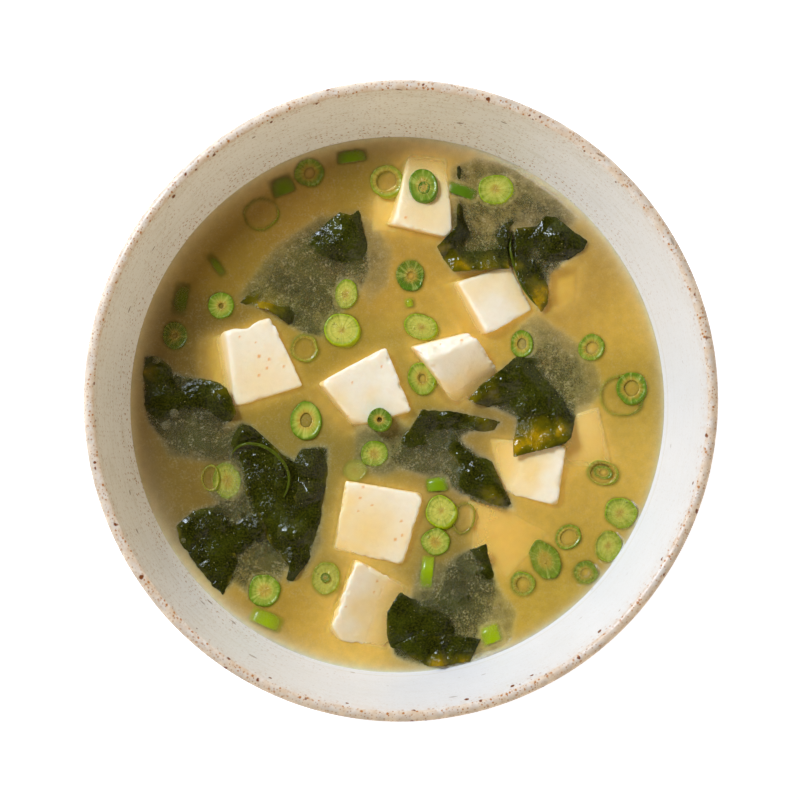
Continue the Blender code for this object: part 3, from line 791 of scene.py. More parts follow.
# Leaves that lie wholly under the surface: outline, depth, and how far the margin hangs down
SUNK_LEAVES = {
    "hj": ([(-43, -20), (-36, -19), (-24, -18), (-20, -28), (-26, -40), (-33, -44), (-38, -40),
            (-36, -33), (-37, -26)], -0.9, 1.2),
    "hi": ([(-36, -11), (-30, -9), (-24, -12), (-21, -16), (-20, -28), (-27, -34), (-33, -26), (-35, -18)],
           -0.3, 0.4),
    "j_low": ([(-50, -28), (-46, -24), (-38, -28), (-36, -36), (-39.5, -43.5), (-42, -41), (-47, -35)],
              -0.2, 0.4),
    "d_up": ([(27, 18), (31, 21), (37, 17), (44, 12), (47, 3), (41, -4), (33, 2), (28, 9)], -1.7, 3.2),
    "a_right": ([(-10, 43), (-6, 42), (-1, 35), (-2, 27), (-7, 22), (-9, 30)], -2.6, 3.2),
    "a_left": ([(-37, 24), (-28, 36), (-18, 43), (-9, 43), (-7, 30), (-14, 19), (-20, 18)], -1.3, 2.4),
    "e_left": ([(-10, -4), (0, -3), (7, -8), (4, -14), (-4, -17), (-10, -14)], -1.8, 3.2),
    "gh": ([(-56, -3), (-46, -5), (-40, -6), (-36, -4), (-32, -13), (-40, -14), (-52, -12)], -1.3, 2.4),
    "f_mid": ([(11, -37), (19.5, -33), (22.5, -42), (21, -49), (16, -56), (9, -54), (8, -44)], -0.9, 0.8),
    "f_right": ([(5, -35), (12, -36), (21, -38), (27, -47), (26, -54), (18, -59), (8, -56), (2, -46)],
                -2.2, 2.0),
    "f_low": ([(-1, -54.5), (4, -57.6), (10.6, -59.2), (16.3, -58.2), (18.8, -53), (11.8, -52), (5, -51.5)],
              0.05, 0.2),
    "b_top": ([(11.5, 54), (18.5, 57), (27, 55), (36, 48.5), (42, 42), (35, 38), (28, 39), (16, 38),
               (11.5, 40)], -1.2, 2.8),
    "bc": ([(21, 40), (26, 40), (30, 37), (29, 33), (27, 30), (24, 30), (21, 34)], -0.7, 0.8),
    "ef": ([(11.8, -4.5), (14.5, -8), (18.1, -11.2), (21.5, -12.9), (22.6, -16.8), (18.5, -18), (14.5, -15),
            (10.5, -10.4)], -0.3, 0.3),
    "i_right": ([(-22, -14), (-17, -20), (-17, -32), (-21, -40), (-25, -36), (-24, -24)], -3.0, 2.4),
}


def outline_distance(points, outline):
    """How far each point is from the nearest side of the outline, seen from above."""
    nearest = np.full(len(points), 99.0)
    for a, b in zip(outline, outline[1:] + outline[:1]):
        a, side = np.array(a), np.subtract(b, a)
        share = np.clip((points[:, :2] - a) @ side / (side @ side), 0, 1)
        away = points[:, :2] - a - share[:, None] * side
        nearest = np.minimum(nearest, np.hypot(away[:, 0], away[:, 1]))
    return nearest


def leaf_colours(points, normals):
    """Nearly black green, olive where the leaf is thin: at its edges and in patches."""
    rim = np.flatnonzero(np.abs(normals[:, 2]) < 0.35)
    tree = kdtree.KDTree(len(rim))
    for i in rim:
        tree.insert((points[i, 0], points[i, 1], 0), int(i))
    tree.balance()
    away = np.array([tree.find((x, y, 0))[2] for x, y, _ in points])
    thin = 0.55 * np.exp(-away / 0.7) * smooth_step(-0.3, 0.5, noise(points, 3.5, 71, 2))
    # the patches' outlines wander
    x_wander = points[:, 0] + 2.4 * noise(points, 4, 74, 2)
    y_wander = points[:, 1] + 2.4 * noise(points, 4, 75, 2)
    for x, y, spread, strength in THIN_PATCHES:
        near = np.hypot(x_wander - x, y_wander - y)
        thin = np.maximum(thin, strength * (1 - smooth_step(0, spread * 1.5, near)))
    thin = np.clip(thin * (0.9 + 0.3 * noise(points, 1.8, 72, 2)), 0, 1)
    moss = smooth_step(-0.35, 0.5, noise(points, 4.5, 73, 3))
    colours = blend(LEAF_DARK, LEAF_MOSS, 0.8 * moss)
    colours = blend(colours, LEAF_OLIVE, smooth_step(0, 0.5, thin))
    return blend(colours, LEAF_GOLD, smooth_step(0.45, 1, thin))


# Where a floating leaf dips under the soup, or rises if it is below 0: x, y, spread and how far
DIPS = [
    (-26.0, 33.0, 6.5, 1.9), (-19.0, 25.0, 5.0, 0.8), (-28.0, 20.5, 6.0, 0.6), (32.5, 32.5, 3.5, -0.5),
    (-44.5, 6.0, 4.0, -0.6), (13.0, 47.0, 5.0, 1.6), (20.0, 42.0, 4.0, 0.7), (40.0, 7.0, 5.0, 2.0),
    (13.0, -44.0, 4.5, 1.2), (9.0, -39.0, 4.0, 1.2), (31.0, 34.0, 3.0, 0.4), (-23.0, -26.0, 3.0, 0.5),
]


def wrinkled(points, edges, seed, dips=()):
    """Rounds off the leaf's folds, then ripples and blisters it without changing its thickness."""
    points = points.copy()
    points[:, 2] = averaged(points[:, 2:], edges, 14)[:, 0]
    for x, y, spread, depth in dips:
        near = away_from(points, x, y) / spread
        points[:, 2] -= depth * np.exp(-near * near)
    flat = points * (1, 1, 0)
    folds = 0.22 * noise(flat, 4.5, seed, 2) + 0.07 * noise(flat, 1.4, seed + 1, 2)
    folds += 0.34 * smooth_step(0.30, 0.75, noise(flat, 1.7, seed + 2))
    shift_x = 0.16 * noise(flat, 1.6, seed + 3, 2)
    shift_y = 0.16 * noise(flat, 1.6, seed + 4, 2)
    return points + np.stack([shift_x, shift_y, folds], axis=1)


def add_leaf(name, points, faces, normals, edges, seed, material, replaced=(), dips=()):
    points = wrinkled(points, edges, seed, dips)
    piece = add_piece(name, points, faces, material, replaced)
    colour_leaf(piece, points, leaf_colours(points, normals))
    return points, faces


def colour_leaf(piece, points, colours):
    """Gives a leaf its colours, and says what of it stands over the soup."""
    give_colours(piece, "leaf", colours)
    give_values(piece, "over", smooth_step(-0.45, 0.0, points[:, 2] - LEVEL))


def leaves(material):
    """The proud leaves, the sunk ones and the loose margins. Returns the leaves' points and faces."""
    parts = []
    for number, node in enumerate(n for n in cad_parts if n.startswith("wakame")):
        leaf = remeshed(*cad_arrays(node), LEAF_VOXEL)
        parts.append(add_leaf("leaf_" + node[-1], *leaf, 200 + 7 * number, material, [node], DIPS))
    for number, (name, (outline, depth, droop)) in enumerate(SUNK_LEAVES.items()):
        count = len(outline)
        top = np.array([(x, y, LEAF_THICK) for x, y in outline])
        low = top * (1, 1, 0)
        faces = [tuple(range(count)), tuple(range(2 * count - 1, count - 1, -1))]
        faces += [(k, k + count, (k + 1) % count + count, (k + 1) % count) for k in range(count)]
        points, *rest = remeshed(np.concatenate([top, low]), faces, LEAF_VOXEL)
        points[:, 2] += LEVEL + depth + (0.2 - 0.3 * depth) * noise(points * (1, 1, 0), 9, 300 + number)
        points[:, 2] -= droop * np.exp(-outline_distance(points, outline) / DROOP_REACH)
        parts.append(add_leaf("sunk_leaf_" + name, points, *rest, 310 + 7 * number, material))
    for name, (path, width) in MARGINS.items():
        add_margin(name, path, width, material)
    return parts


# Margins of curled leaves: x, y and height over the soup along each, and its width
MARGINS = {
    "h": ([
        (-37.8, -12.0, -0.6), (-36.6, -10.0, 0.3), (-34.4, -9.0, 0.9), (-31.8, -9.2, 1.3),
        (-29.2, -10.2, 1.5), (-27.2, -11.8, 1.6), (-25.4, -13.8, 1.6), (-24.5, -16.2, 1.4),
        (-24.7, -18.8, 1.0), (-25.8, -21.2, 0.3),
    ], 0.80),
    "c": ([
        (25.8, 38.8, 0.1), (25.3, 35.9, 0.6), (25.8, 32.9, 0.9), (26.7, 30.2, 0.9), (28.0, 26.8, 0.8),
        (29.8, 24.1, 0.7), (32.3, 21.6, 0.3),
    ], 0.65),
}
MARGIN_GREEN = linear(74, 88, 12)
MARGIN_RISE = 0.28  # half the strand's thickness


def add_margin(name, path, width, material):
    """The pale green edge that shows where the leaf curls over, as a flattened strand."""
    path = np.array(path) + (0, 0, LEVEL)
    for _ in range(2):
        middles = (path[:-1] + path[1:]) / 2
        near = (path[:-1] + middles) / 2
        far = (path[1:] + middles) / 2
        path = np.concatenate([path[:1], np.stack([near, far], axis=1).reshape(-1, 3), path[-1:]])
    way = np.gradient(path, axis=0)
    way /= np.linalg.norm(way, axis=1)[:, None]
    aside = np.stack([-way[:, 1], way[:, 0], np.zeros(len(way))], axis=1)
    taper = np.sin(pi * np.linspace(0.04, 0.96, len(path))) ** 0.5
    turns = 10
    points = []
    for k in range(turns):
        a = 2 * pi * k / turns
        flat = aside * (cos(a) * width / 2 * taper)[:, None]
        points.append(path + flat + np.array([0, 0, MARGIN_RISE]) * (sin(a) * taper)[:, None])
    points = np.stack(points, axis=1).reshape(-1, 3)
    faces = [face[::-1] for face in quads(len(path), turns)]
    faces += [tuple(range(turns - 1, -1, -1)), tuple(range(len(points) - turns, len(points)))]
    piece = add_piece("leaf_margin_" + name, points, faces, material)
    colour_leaf(piece, points, np.tile(MARGIN_GREEN, (len(points), 1)))


# Spring onion

SKIN = linear(84, 124, 8)
LIME = linear(178, 200, 10)
PALE = linear(200, 194, 84)
GREEN = linear(100, 136, 18)
CORE = linear(182, 146, 52)
DEEP_GREEN = linear(48, 88, 20)
# Slices lying flat: x, y, width, length, turn and tilt in degrees, height of the cut face over the soup,
# share of the width that is hollow, how green the flesh is and how bright the skin is, which also sets how
# much painted glow it gets.
SLICES = [
    (-31.0, 43.1, 7.9, 7.5, 0, 0, -0.25, 0.90, 0.6, 0.35),
    (-20.1, 52.4, 7.0, 6.8, 0, 3, -0.35, 0.34, 0.8, 0.2),
    (-2.7, 50.6, 7.7, 7.2, 0, 0, -0.15, 0.62, 0.05, 0.7),
    (2.9, 29.1, 6.6, 7.4, 0, -3, -0.20, 0.24, 1.0, 0.10),
    (-21.2, 12.6, 6.4, 6.4, 0, 0, -0.50, 0.70, 0.3, 0.6),
    (-40.0, 22.1, 6.1, 6.1, 0, 4, 0.05, 0.20, 0.7, 0.2),
    (-50.4, 15.4, 6.0, 6.6, 0, 0, -0.80, 0.20, 1.0, 0.1),
    (28.0, 13.7, 5.2, 6.4, 0, 0, 0.15, 0.42, 0.7, 0.2),
    (43.8, 12.8, 5.7, 6.4, -30, 3, 0.00, 0.44, 0.6, 0.3),
    (52.9, 3.6, 7.2, 7.2, 0, -4, 0.25, 0.50, 0.8, 0.25),
    (50.6, 1.9, 10.2, 9.5, 0, 0, -0.55, 0.86, 0.3, 0.5),
    (5.4, 5.8, 6.6, 7.5, 10, 4, 0.05, 0.28, 0.45, 0.6),
    (-20.8, -3.7, 7.2, 8.6, 0, -4, 0.30, 0.38, 0.45, 0.05),
    (-4.3, -3.7, 5.4, 5.4, 0, 6, 2.60, 0.22, 0.95, 0.3),
    (-42.3, -16.8, 4.1, 6.1, 0, 0, -0.25, 0.82, 0.2, 0.5),
    (46.3, -15.6, 7.2, 5.7, -10, 0, -0.20, 0.76, 0.4, 0.6),
    (46.4, -15.5, 4.8, 3.2, -14, 0, -0.25, 0.40, 0.8, 0.2),
    (42.3, -38.2, 5.9, 5.7, 0, 5, -0.35, 0.34, 0.8, 0.2),
    (38.4, -30.1, 6.6, 5.4, 35, 0, -0.05, 0.60, 0.6, 0.35),
    (28.0, -40.7, 5.9, 5.8, 0, 8, -0.35, 0.50, 0.4, 0.6),
    (14.7, -25.8, 5.0, 7.6, -12, 0, -0.35, 0.84, 0.4, 0.4),
    (5.6, 49.4, 6.4, 8.1, 0, -12, 1.50, 0.0, 0.75, 0.05),
    (22.1, 48.8, 8.1, 6.8, 0, 0, 0.00, 0.0, 0.35, 0.7),
    (5.2, 17.4, 8.1, 6.1, -15, 3, -0.05, 0.0, 0.15, 0.8),
    (-11.8, 24.8, 5.4, 7.0, -10, 6, -0.10, 0.0, 0.15, 0.65),
    (-12.7, 16.7, 8.3, 7.5, 0, -3, 0.25, 0.0, 0.0, 1.0),
    (-5.4, -11.3, 6.1, 6.1, 0, 4, -0.10, 0.0, 0.55, 0.3),
    (-9.7, -15.0, 5.4, 4.8, 0, 0, -1.20, 0.0, 0.1, 0.8),
    (-38.6, -17.4, 6.4, 8.4, 10, 0, -0.80, 0.0, 0.3, 0.4),
    (-30.1, -42.1, 7.3, 7.3, 0, -3, 0.05, 0.0, 0.6, 0.2),
    (-16.3, -39.4, 6.4, 8.1, -10, 0, -0.60, 0.0, 0.1, 0.75),
    (50.2, -24.7, 7.4, 7.2, 0, 3, -0.05, 0.0, 0.4, 0.65),
    (47.5, -32.1, 6.1, 7.2, -20, 0, -0.20, 0.0, 0.35, 0.75),
    (33.2, -35.3, 7.0, 9.6, 25, 0, -0.25, 0.0, 0.8, 0.15),
    (9.7, -24.2, 7.0, 7.5, 0, -4, 0.30, 0.0, 0.1, 1.0),
    (8.4, -31.2, 6.4, 6.4, 0, 3, 0.05, 0.0, 0.35, 0.3),
    (5.8, 48.9, 2.7, 3.1, 0, -12, 1.60, 0.0, 0.95, 0.1),
    (-16.4, -39.2, 2.2, 2.2, 0, 0, -0.30, 0.0, 0.95, 0.3),
]
# Slices on edge: x, y, length seen, thickness seen, turn, height of the top over the soup, green, bright
ON_EDGE = [
    (-10.6, 56.2, 7.4, 2.8, 8, 0.05, 0.8, 0.3),
    (14.4, 48.4, 7.6, 2.6, -20, 0.30, 0.9, 0.1),
    (-41.0, 31.4, 6.4, 1.9, -55, -0.50, 0.8, 0.2),
    (-49.0, 23.8, 7.8, 3.4, 80, -0.60, 0.9, 0.1),
    (-26.2, 49.4, 6.0, 4.2, 22, -0.10, 0.8, 0.15),
    (2.7, 22.8, 2.6, 2.0, 10, -0.30, 0.2, 0.8),
    (9.0, -18.3, 5.4, 3.0, 5, 0.30, 0.7, 0.3),
    (6.6, -38.2, 7.8, 2.8, 85, 0.10, 0.3, 0.6),
    (-29.6, -48.7, 7.8, 3.4, -24, -0.10, 0.1, 0.7),
    (20.9, -52.2, 5.2, 4.0, 20, 0.05, 0.1, 0.8),
]
RING_THICK = 1.6
DISC_THICK = 2.0
EDGE_HEIGHT = 3.0  # how far a slice on edge reaches down
EDGE_TILT = 82  # degrees
EDGE_HOLLOW = 0.5
SLICE_TURNS = 64
# painted light: a slice's skin is painted lime on the side away from the light, as if lit through
PAINTED_GLOW_SIDE = radians(322)  # the side of a slice that glows, away from the light
LEAN = 1.0  # how far a bright slice leans that way, so that its side shows


def slice_profile(hollow, thick):
    """The cut face from the middle or the hollow outwards, and back underneath: radius share, height."""
    shares = np.linspace(hollow, 0.93, 10 if hollow else 15)
    top = [(r, 0.0) for r in shares]
    rim = [(0.985, -0.10), (1.0, -0.35), (1.0, -thick * 0.6), (0.97, -thick)]
    under = [(r, -thick) for r in np.linspace(0.9, hollow, 4)]
    return np.array(top + rim + under)


def slice_colours(share, angle, wobble, fibre, is_top, hollow, green, bright):
    """Skin outside, flesh that is greener near it, and a brownish middle or hollow."""
    # painted light: a glow share, greatest on the side away from the light, that paints the skin lime as if
    # lit through
    glow = 0.35 + 0.65 * (0.5 + 0.5 * np.cos(angle - PAINTED_GLOW_SIDE))
    deep = np.full(share.shape, 0.8 * float(smooth_step(0.6, 1.0, green)) * (1 - bright))
    skin = blend(SKIN, LIME, np.clip(bright * glow * 1.2, 0, 1))
    skin = blend(skin, DEEP_GREEN, deep)
    flesh = blend(PALE, GREEN, green * smooth_step(0.15, 0.85, share + 0.15 * fibre))
    flesh = blend(flesh, DEEP_GREEN, deep)
    # the flesh is greener towards the skin; towards the middle it lets the soup through, with a ragged edge
    colours = blend(flesh, GREEN, smooth_step(0.6, 0.95, share + 0.10 * fibre) * 0.55)
    ragged = share + 0.14 * fibre + 0.08 * wobble
    reach = hollow + (0.24 if hollow else 0.52 - 0.3 * bright)
    inner = 1 - smooth_step(reach - 0.22, reach + 0.10, ragged)
    colours = blend(colours, CORE, inner * 0.85)
    if hollow < 0.1:
        inner_line = np.exp(-(((share - 0.60 - 0.05 * wobble) / 0.035) ** 2))
        colours = blend(colours, blend(GREEN, SKIN, np.full(share.shape, green)), inner_line * 0.35)
    # a dark line inside the skin
    line = np.exp(-(((share - 0.87 - 0.02 * wobble) / 0.03) ** 2))
    colours = blend(colours, SKIN, line * 0.25)
    start = 0.885 + 0.02 * wobble
    colours = blend(colours, skin, smooth_step(start, start + 0.05, share))
    colours = blend(colours, SKIN, 0.7 * smooth_step(0.95, 1.0, share) * (1 - 0.6 * bright))
    # the sides below the cut face take the skin's colour, painted lighter towards lime as painted light in
    # place of their shade
    return blend(colours, blend(skin, LIME, np.full(share.shape, 0.05 + 0.35 * bright)), 1 - is_top)


def onion_slice(width, length, hollow, thick, green, bright, seed):
    """A slice of spring onion round the origin: points, faces, colours, polar place and cut face."""
    profile = slice_profile(hollow, thick)
    count = len(profile)
    share, height, angle = spun(profile, SLICE_TURNS)
    polar = np.stack([np.cos(angle).ravel(), np.sin(angle).ravel(), share.ravel() + seed], axis=1)
    wobble = noise(polar * (1.2, 1.2, 0.3), 1.0, seed, 2).reshape(share.shape)
    fibre = noise(polar * (6, 6, 1.2), 1.0, seed + 1, 2).reshape(share.shape)
    is_top = (height > -0.05).astype(float)
    radius = share * (1 + 0.12 * wobble)
    rings = 0.5 + 0.5 * np.cos(share * 2 * pi * 3.2 + wobble)
    height = height + is_top * (0.07 * fibre + 0.08 * rings - 0.08 + 0.14 * smooth_step(0.7, 0.92, share))
    x = radius * np.cos(angle) * width / 2
    y = radius * np.sin(angle) * length / 2
    points = np.stack([x, y, height], axis=-1).reshape(-1, 3)
    colours = slice_colours(share, angle, wobble, fibre, is_top, hollow, green, bright).reshape(-1, 3)
    values = np.concatenate([colours, polar, is_top.reshape(-1, 1)], axis=1)
    if hollow:
        return points, quads(count, SLICE_TURNS, round_rows=True), values
    # the first and last rows meet on the axis
    middle = values[:SLICE_TURNS].mean(axis=0)
    values = np.concatenate([values[SLICE_TURNS:-SLICE_TURNS], [middle, middle]])
    points = np.concatenate([points[SLICE_TURNS:-SLICE_TURNS], [(0, 0, -0.05), (0, 0, -thick)]])
    return points, capped(count - 2, SLICE_TURNS), values


def turned(points, angle, axis):
    """Points turned by an angle in degrees about x or z."""
    c, s = cos(radians(angle)), sin(radians(angle))
    x, y, z = points.T
    if axis == "x":
        return np.stack([x, y * c - z * s, y * s + z * c], axis=1)
    return np.stack([x * c - y * s, x * s + y * c, z], axis=1)


def joined(name, parts, material):
    """Several slices as one piece."""
    points = np.concatenate([part[0] for part in parts])
    starts = np.cumsum([0] + [len(part[0]) for part in parts[:-1]])
    faces = [tuple(i + int(start) for i in face) for start, part in zip(starts, parts) for face in part[1]]
    values = np.concatenate([part[2] for part in parts])
    piece = add_piece(name, points, faces, material)
    give_colours(piece, "flesh", values[:, :3])
    give_vectors(piece, "polar", values[:, 3:6])
    give_values(piece, "cut", values[:, 6])
    return points, faces


def spring_onion(material):
    """All the slices, one piece for each kind. Returns their points and faces."""
    rings = []
    discs = []
    for number, (x, y, width, length, turn, tilt, over, hollow, green, bright) in enumerate(SLICES):
        thick = RING_THICK if hollow else DISC_THICK
        seed = 400 + 11 * number
        points, faces, values = onion_slice(width, length, hollow, thick, green, bright, seed)
        lean = np.clip(-points[:, 2] / thick, 0, 1) * LEAN * (0.25 + 0.75 * bright)
        points = turned(turned(points, turn, "z"), tilt, "x") + (x, y, LEVEL + over)
        points += lean[:, None] * (cos(PAINTED_GLOW_SIDE), sin(PAINTED_GLOW_SIDE), 0)
        (rings if hollow else discs).append((points, faces, values))
    edges = []
    for number, (x, y, length, thick, turn, over, green, bright) in enumerate(ON_EDGE):
        seed = 700 + 9 * number
        points, faces, values = onion_slice(length, EDGE_HEIGHT, EDGE_HOLLOW, thick, green, bright, seed)
        points = turned(points + (0, 0, thick / 2), EDGE_TILT, "x")
        points[:, 2] -= points[:, 2].max()
        edges.append((turned(points, turn, "z") + (x, y, LEVEL + over), faces, values))
    kinds = {"onion_rings": rings, "onion_slices": discs, "onion_on_edge": edges}
    return [joined(name, parts, material) for name, parts in kinds.items()]


# Small things

# Bubbles: x, y, radius and how far the top stands over the soup
BUBBLES = [
    (-54.5, 9.4, 1.3, 0.9), (-50.6, -2.1, 1.2, 0.7), (-52.4, -5.0, 1.1, 0.6), (-48.1, -30.6, 1.1, 0.9),
    (-43.0, -30.0, 0.6, 0.5), (-14.2, 17.4, 0.5, 0.5), (32.2, -6.4, 0.7, 0.5), (-40.2, 24.8, 0.4, 0.3),
]


def bubbles(material):
    """Domes of film resting on the soup."""
    rows, turns = 10, 24
    tilt = np.repeat(pi * np.arange(1, rows) / rows, turns)
    turn = np.tile(2 * pi * np.arange(turns) / turns, rows - 1)
    ball = np.stack([np.sin(tilt) * np.cos(turn), np.sin(tilt) * np.sin(turn), np.cos(tilt)], axis=1)
    ball = np.concatenate([ball, [(0, 0, 1), (0, 0, -1)]])
    points = []
    faces = []
    for number, (x, y, radius, over) in enumerate(BUBBLES):
        points.append(ball * radius + (x, y, LEVEL + over - radius))
        faces += capped(rows - 1, turns, number * len(ball))
    add_piece("bubbles", np.concatenate(points), faces, material)


# Broth

CELL = 0.32  # spacing of the map of what lies under the surface
MAP_LOW = -RIM_RADIUS  # where the map starts, both ways
SOUP_GRID = 292  # quads along one side of the surface's grid
WALL_REACH = 0.25
BRIGHT = linear(200, 162, 68)
SHORE_LIT = linear(240, 228, 196)
SHORE_SHADED = linear(246, 222, 170)
SHORE_WIDTH = 1.5
# painted light, in part: the soup's glow round tofu under the surface
GLOW = linear(252, 208, 104)
# painted light, in part: the lime glow of the soup round slices
ONION_GLOW = linear(150, 156, 40)
HAZY = np.array([0.95, 1.26, 3.2])  # haze in front of a leaf is greyer than deep soup
DEEP_LAYER = 5.0  # how far down the soup is too thick to see into
DEEP_GRID = 64
SIGHT = {"tofu": 6.0, "leaf": 3.2, "onion": 2.2}  # the depth at which each has faded to about a third
HAZE_DEPTH = 4.0  # how deep a leaf still greys the soup over it
GLOW_DEPTH = 7.0  # how deep tofu still warms it
GREEN_DEPTH = 1.5  # how deep a slice still greens it
CREEP = 0.12  # how far the soup draws up the wall
SIDE_ROWS = np.array([0.03, 0.1, 0.25, 0.5, 0.8])  # shares of the depth at which the side has points

# The soup's tones where nothing lies near: x, y and colour. Besides the soup's own colour they hold painted
# shade and light: darker towards the upper left, in the wall's shadow, and paler by some of the tofu.
SOUP_TONES_AND_SHADE = [
    (-23, 44, (158, 124, 50)), (-39, 34, (152, 123, 46)), (-46, 13, (116, 94, 40)),
    (-54, -15, (128, 105, 46)), (-6, 54, (146, 120, 40)), (6, 57, (186, 146, 56)), (-3, 37, (180, 144, 62)),
    (-21, 11, (168, 140, 54)), (-15, -11, (150, 130, 58)), (-14, -49, (234, 192, 88)),
    (-26, -45, (176, 142, 52)), (-6, -37, (204, 170, 84)), (7, 34, (194, 156, 64)), (46, 31, (186, 150, 70)),
    (55, 21, (218, 178, 76)), (55, 3, (182, 152, 60)), (53, -11, (214, 178, 80)), (43, -22, (212, 174, 76)),
    (43, -34, (186, 156, 62)), (37, -45, (198, 166, 66)), (24, -54, (205, 170, 68)), (16, -8, (160, 134, 66)),
    (-17, -32, (160, 137, 62)), (2, 4, (174, 148, 60)), (14, 18, (204, 168, 72)), (2, -41, (142, 123, 54)),
]
TONE_SPREAD = 9.0


def soup_tones_and_shade(x, y):
    """The soup's colour and its painted shade and light, flowing from one tone to the next."""
    total = np.zeros(x.shape)
    colours = np.zeros((*x.shape, 3))
    for tone_x, tone_y, colour in SOUP_TONES_AND_SHADE:
        near = np.hypot(x - tone_x, y - tone_y) / TONE_SPREAD
        weight = np.exp(-near * near) + 0.002 / (1 + near * near)
        total += weight
        colours += weight[..., None] * linear(*colour)
    return colours / total[..., None]


def depth_map(tree, xs, ys):
    """How deep the first thing under each spot lies: 0 where it stands proud, 99 where there is none."""
    depths = np.full(xs.shape, 99.0)
    down = Vector((0, 0, -1))
    for index in np.ndindex(xs.shape):
        x, y = xs[index], ys[index]
        if hypot(x, y) < RIM_RADIUS:
            hit = tree.ray_cast(Vector((x, y, RIM_HEIGHT)), down, RIM_HEIGHT)[0]
            if hit is not None:
                depths[index] = max(0.0, LEVEL - hit.z)
    return depths


def blurred(field, spread):
    """A field spread out by about so many millimetres."""
    reach = int(3 * spread / CELL) + 1
    steps = np.arange(-reach, reach + 1) * CELL
    kernel = np.exp(-((steps / spread) ** 2) / 2)
    kernel /= kernel.sum()
    for axis in (0, 1):
        field = np.apply_along_axis(lambda row: np.convolve(row, kernel, mode="same"), axis, field)
    return field


def sampled(field, x, y):
    """The field's values between its cells."""
    i = np.clip((x - MAP_LOW) / CELL, 0, field.shape[0] - 1.001)
    j = np.clip((y - MAP_LOW) / CELL, 0, field.shape[1] - 1.001)
    a, b = i.astype(int), j.astype(int)
    u, v = i - a, j - b
    near = field[a, b] * (1 - v) + field[a, b + 1] * v
    far = field[a + 1, b] * (1 - v) + field[a + 1, b + 1] * v
    return near * (1 - u) + far * u


def thinned(field):
    """The least of each cell and its neighbours."""
    for axis in (0, 1):
        field = np.minimum(field, np.minimum(np.roll(field, 1, axis), np.roll(field, -1, axis)))
    return field


def disc_points(radius, count):
    """A square grid bent into a disc, so that its edge is a circle."""
    line = np.linspace(-1, 1, count + 1)
    u, v = np.meshgrid(line, line, indexing="ij")
    wide = np.abs(u) > np.abs(v)
    reach = np.where(wide, u, v)
    safe_u = np.where(u == 0, 1, u)
    safe_v = np.where(v == 0, 1, v)
    turn = np.where(wide, pi / 4 * v / safe_u, pi / 2 - pi / 4 * u / safe_v)
    turn = np.where((u == 0) & (v == 0), 0, turn)
    return reach * np.cos(turn) * radius, reach * np.sin(turn) * radius


def soup_fields(curds, weeds, onions):
    """Maps over the soup of how much shows through, and how near leaves, tofu and slices are."""
    line = np.arange(MAP_LOW, -MAP_LOW + CELL, CELL)
    xs, ys = np.meshgrid(line, line, indexing="ij")
    tofu = depth_map(tree_of(curds), xs, ys)
    leaf = depth_map(tree_of(weeds), xs, ys)
    onion = depth_map(tree_of(onions), xs, ys)
    cloud = 1 + 0.40 * flat_noise(xs, ys, 5.5, 501, 3) + 0.20 * flat_noise(xs, ys, 1.8, 502, 2)
    nearest = np.minimum(np.minimum(tofu, leaf), onion)
    through = np.exp(-tofu / SIGHT["tofu"])
    through = np.where(leaf <= nearest, np.exp(-leaf * cloud / SIGHT["leaf"]), through)
    # things are blurred the deeper they lie, and never show past their own outline
    through = thinned(through)
    through = np.where(onion <= nearest, np.exp(-onion * cloud / SIGHT["onion"]), through)
    soft = blurred(through, 0.9)
    deep = smooth_step(0.1, 2.5, nearest)
    through = through * (1 - deep) + np.minimum(through, soft) * deep
    haze = blurred(np.exp(-leaf / HAZE_DEPTH), 0.5)
    glow = blurred(np.exp(-tofu / GLOW_DEPTH), 1.6)
    green = blurred(np.exp(-onion / GREEN_DEPTH), 0.5)
    return blurred(through, 0.22), haze, glow, green


def deep_soup(material):
    """The top of the soup that is too deep to see into, as a thin closed layer."""
    side = DEEP_GRID + 1
    points = []
    for depth in (DEEP_LAYER, DEEP_LAYER + 1):
        x, y = disc_points(float(inner_radius(LEVEL - depth)) + WALL_REACH, DEEP_GRID)
        points.append(np.stack([x, y, np.full(x.shape, LEVEL - depth)], axis=-1).reshape(-1, 3))
    faces = quads(side, side, round_columns=False)
    faces += [face[::-1] for face in quads(side, side, side * side, round_columns=False)]
    loop = border_of(DEEP_GRID)
    for a, b in zip(loop, loop[1:] + loop[:1]):
        faces.append((b, a, a + side * side, b + side * side))
    colour_soup(add_piece("soup_deep", np.concatenate(points), faces, material, sharp=50))


def colour_soup(piece, fog=(), haze=(), tint=()):
    """Says how thick, hazy and coloured the soup is at its first points; the rest is deep soup."""
    rest = len(piece.data.vertices) - np.size(fog)
    give_values(piece, "fog", np.append(fog, np.ones(rest)))
    give_values(piece, "haze", np.append(haze, np.zeros(rest)))
    give_colours(piece, "tint", np.append(tint, np.tile(BRIGHT, rest)).reshape(-1, 3))


def border_of(count):
    """The grid's outermost points in order, as indices."""
    border = [(i, 0) for i in range(count)] + [(count, j) for j in range(count)]
    border += [(i, count) for i in range(count, 0, -1)] + [(0, j) for j in range(count, 0, -1)]
    return [i * (count + 1) + j for i, j in border]


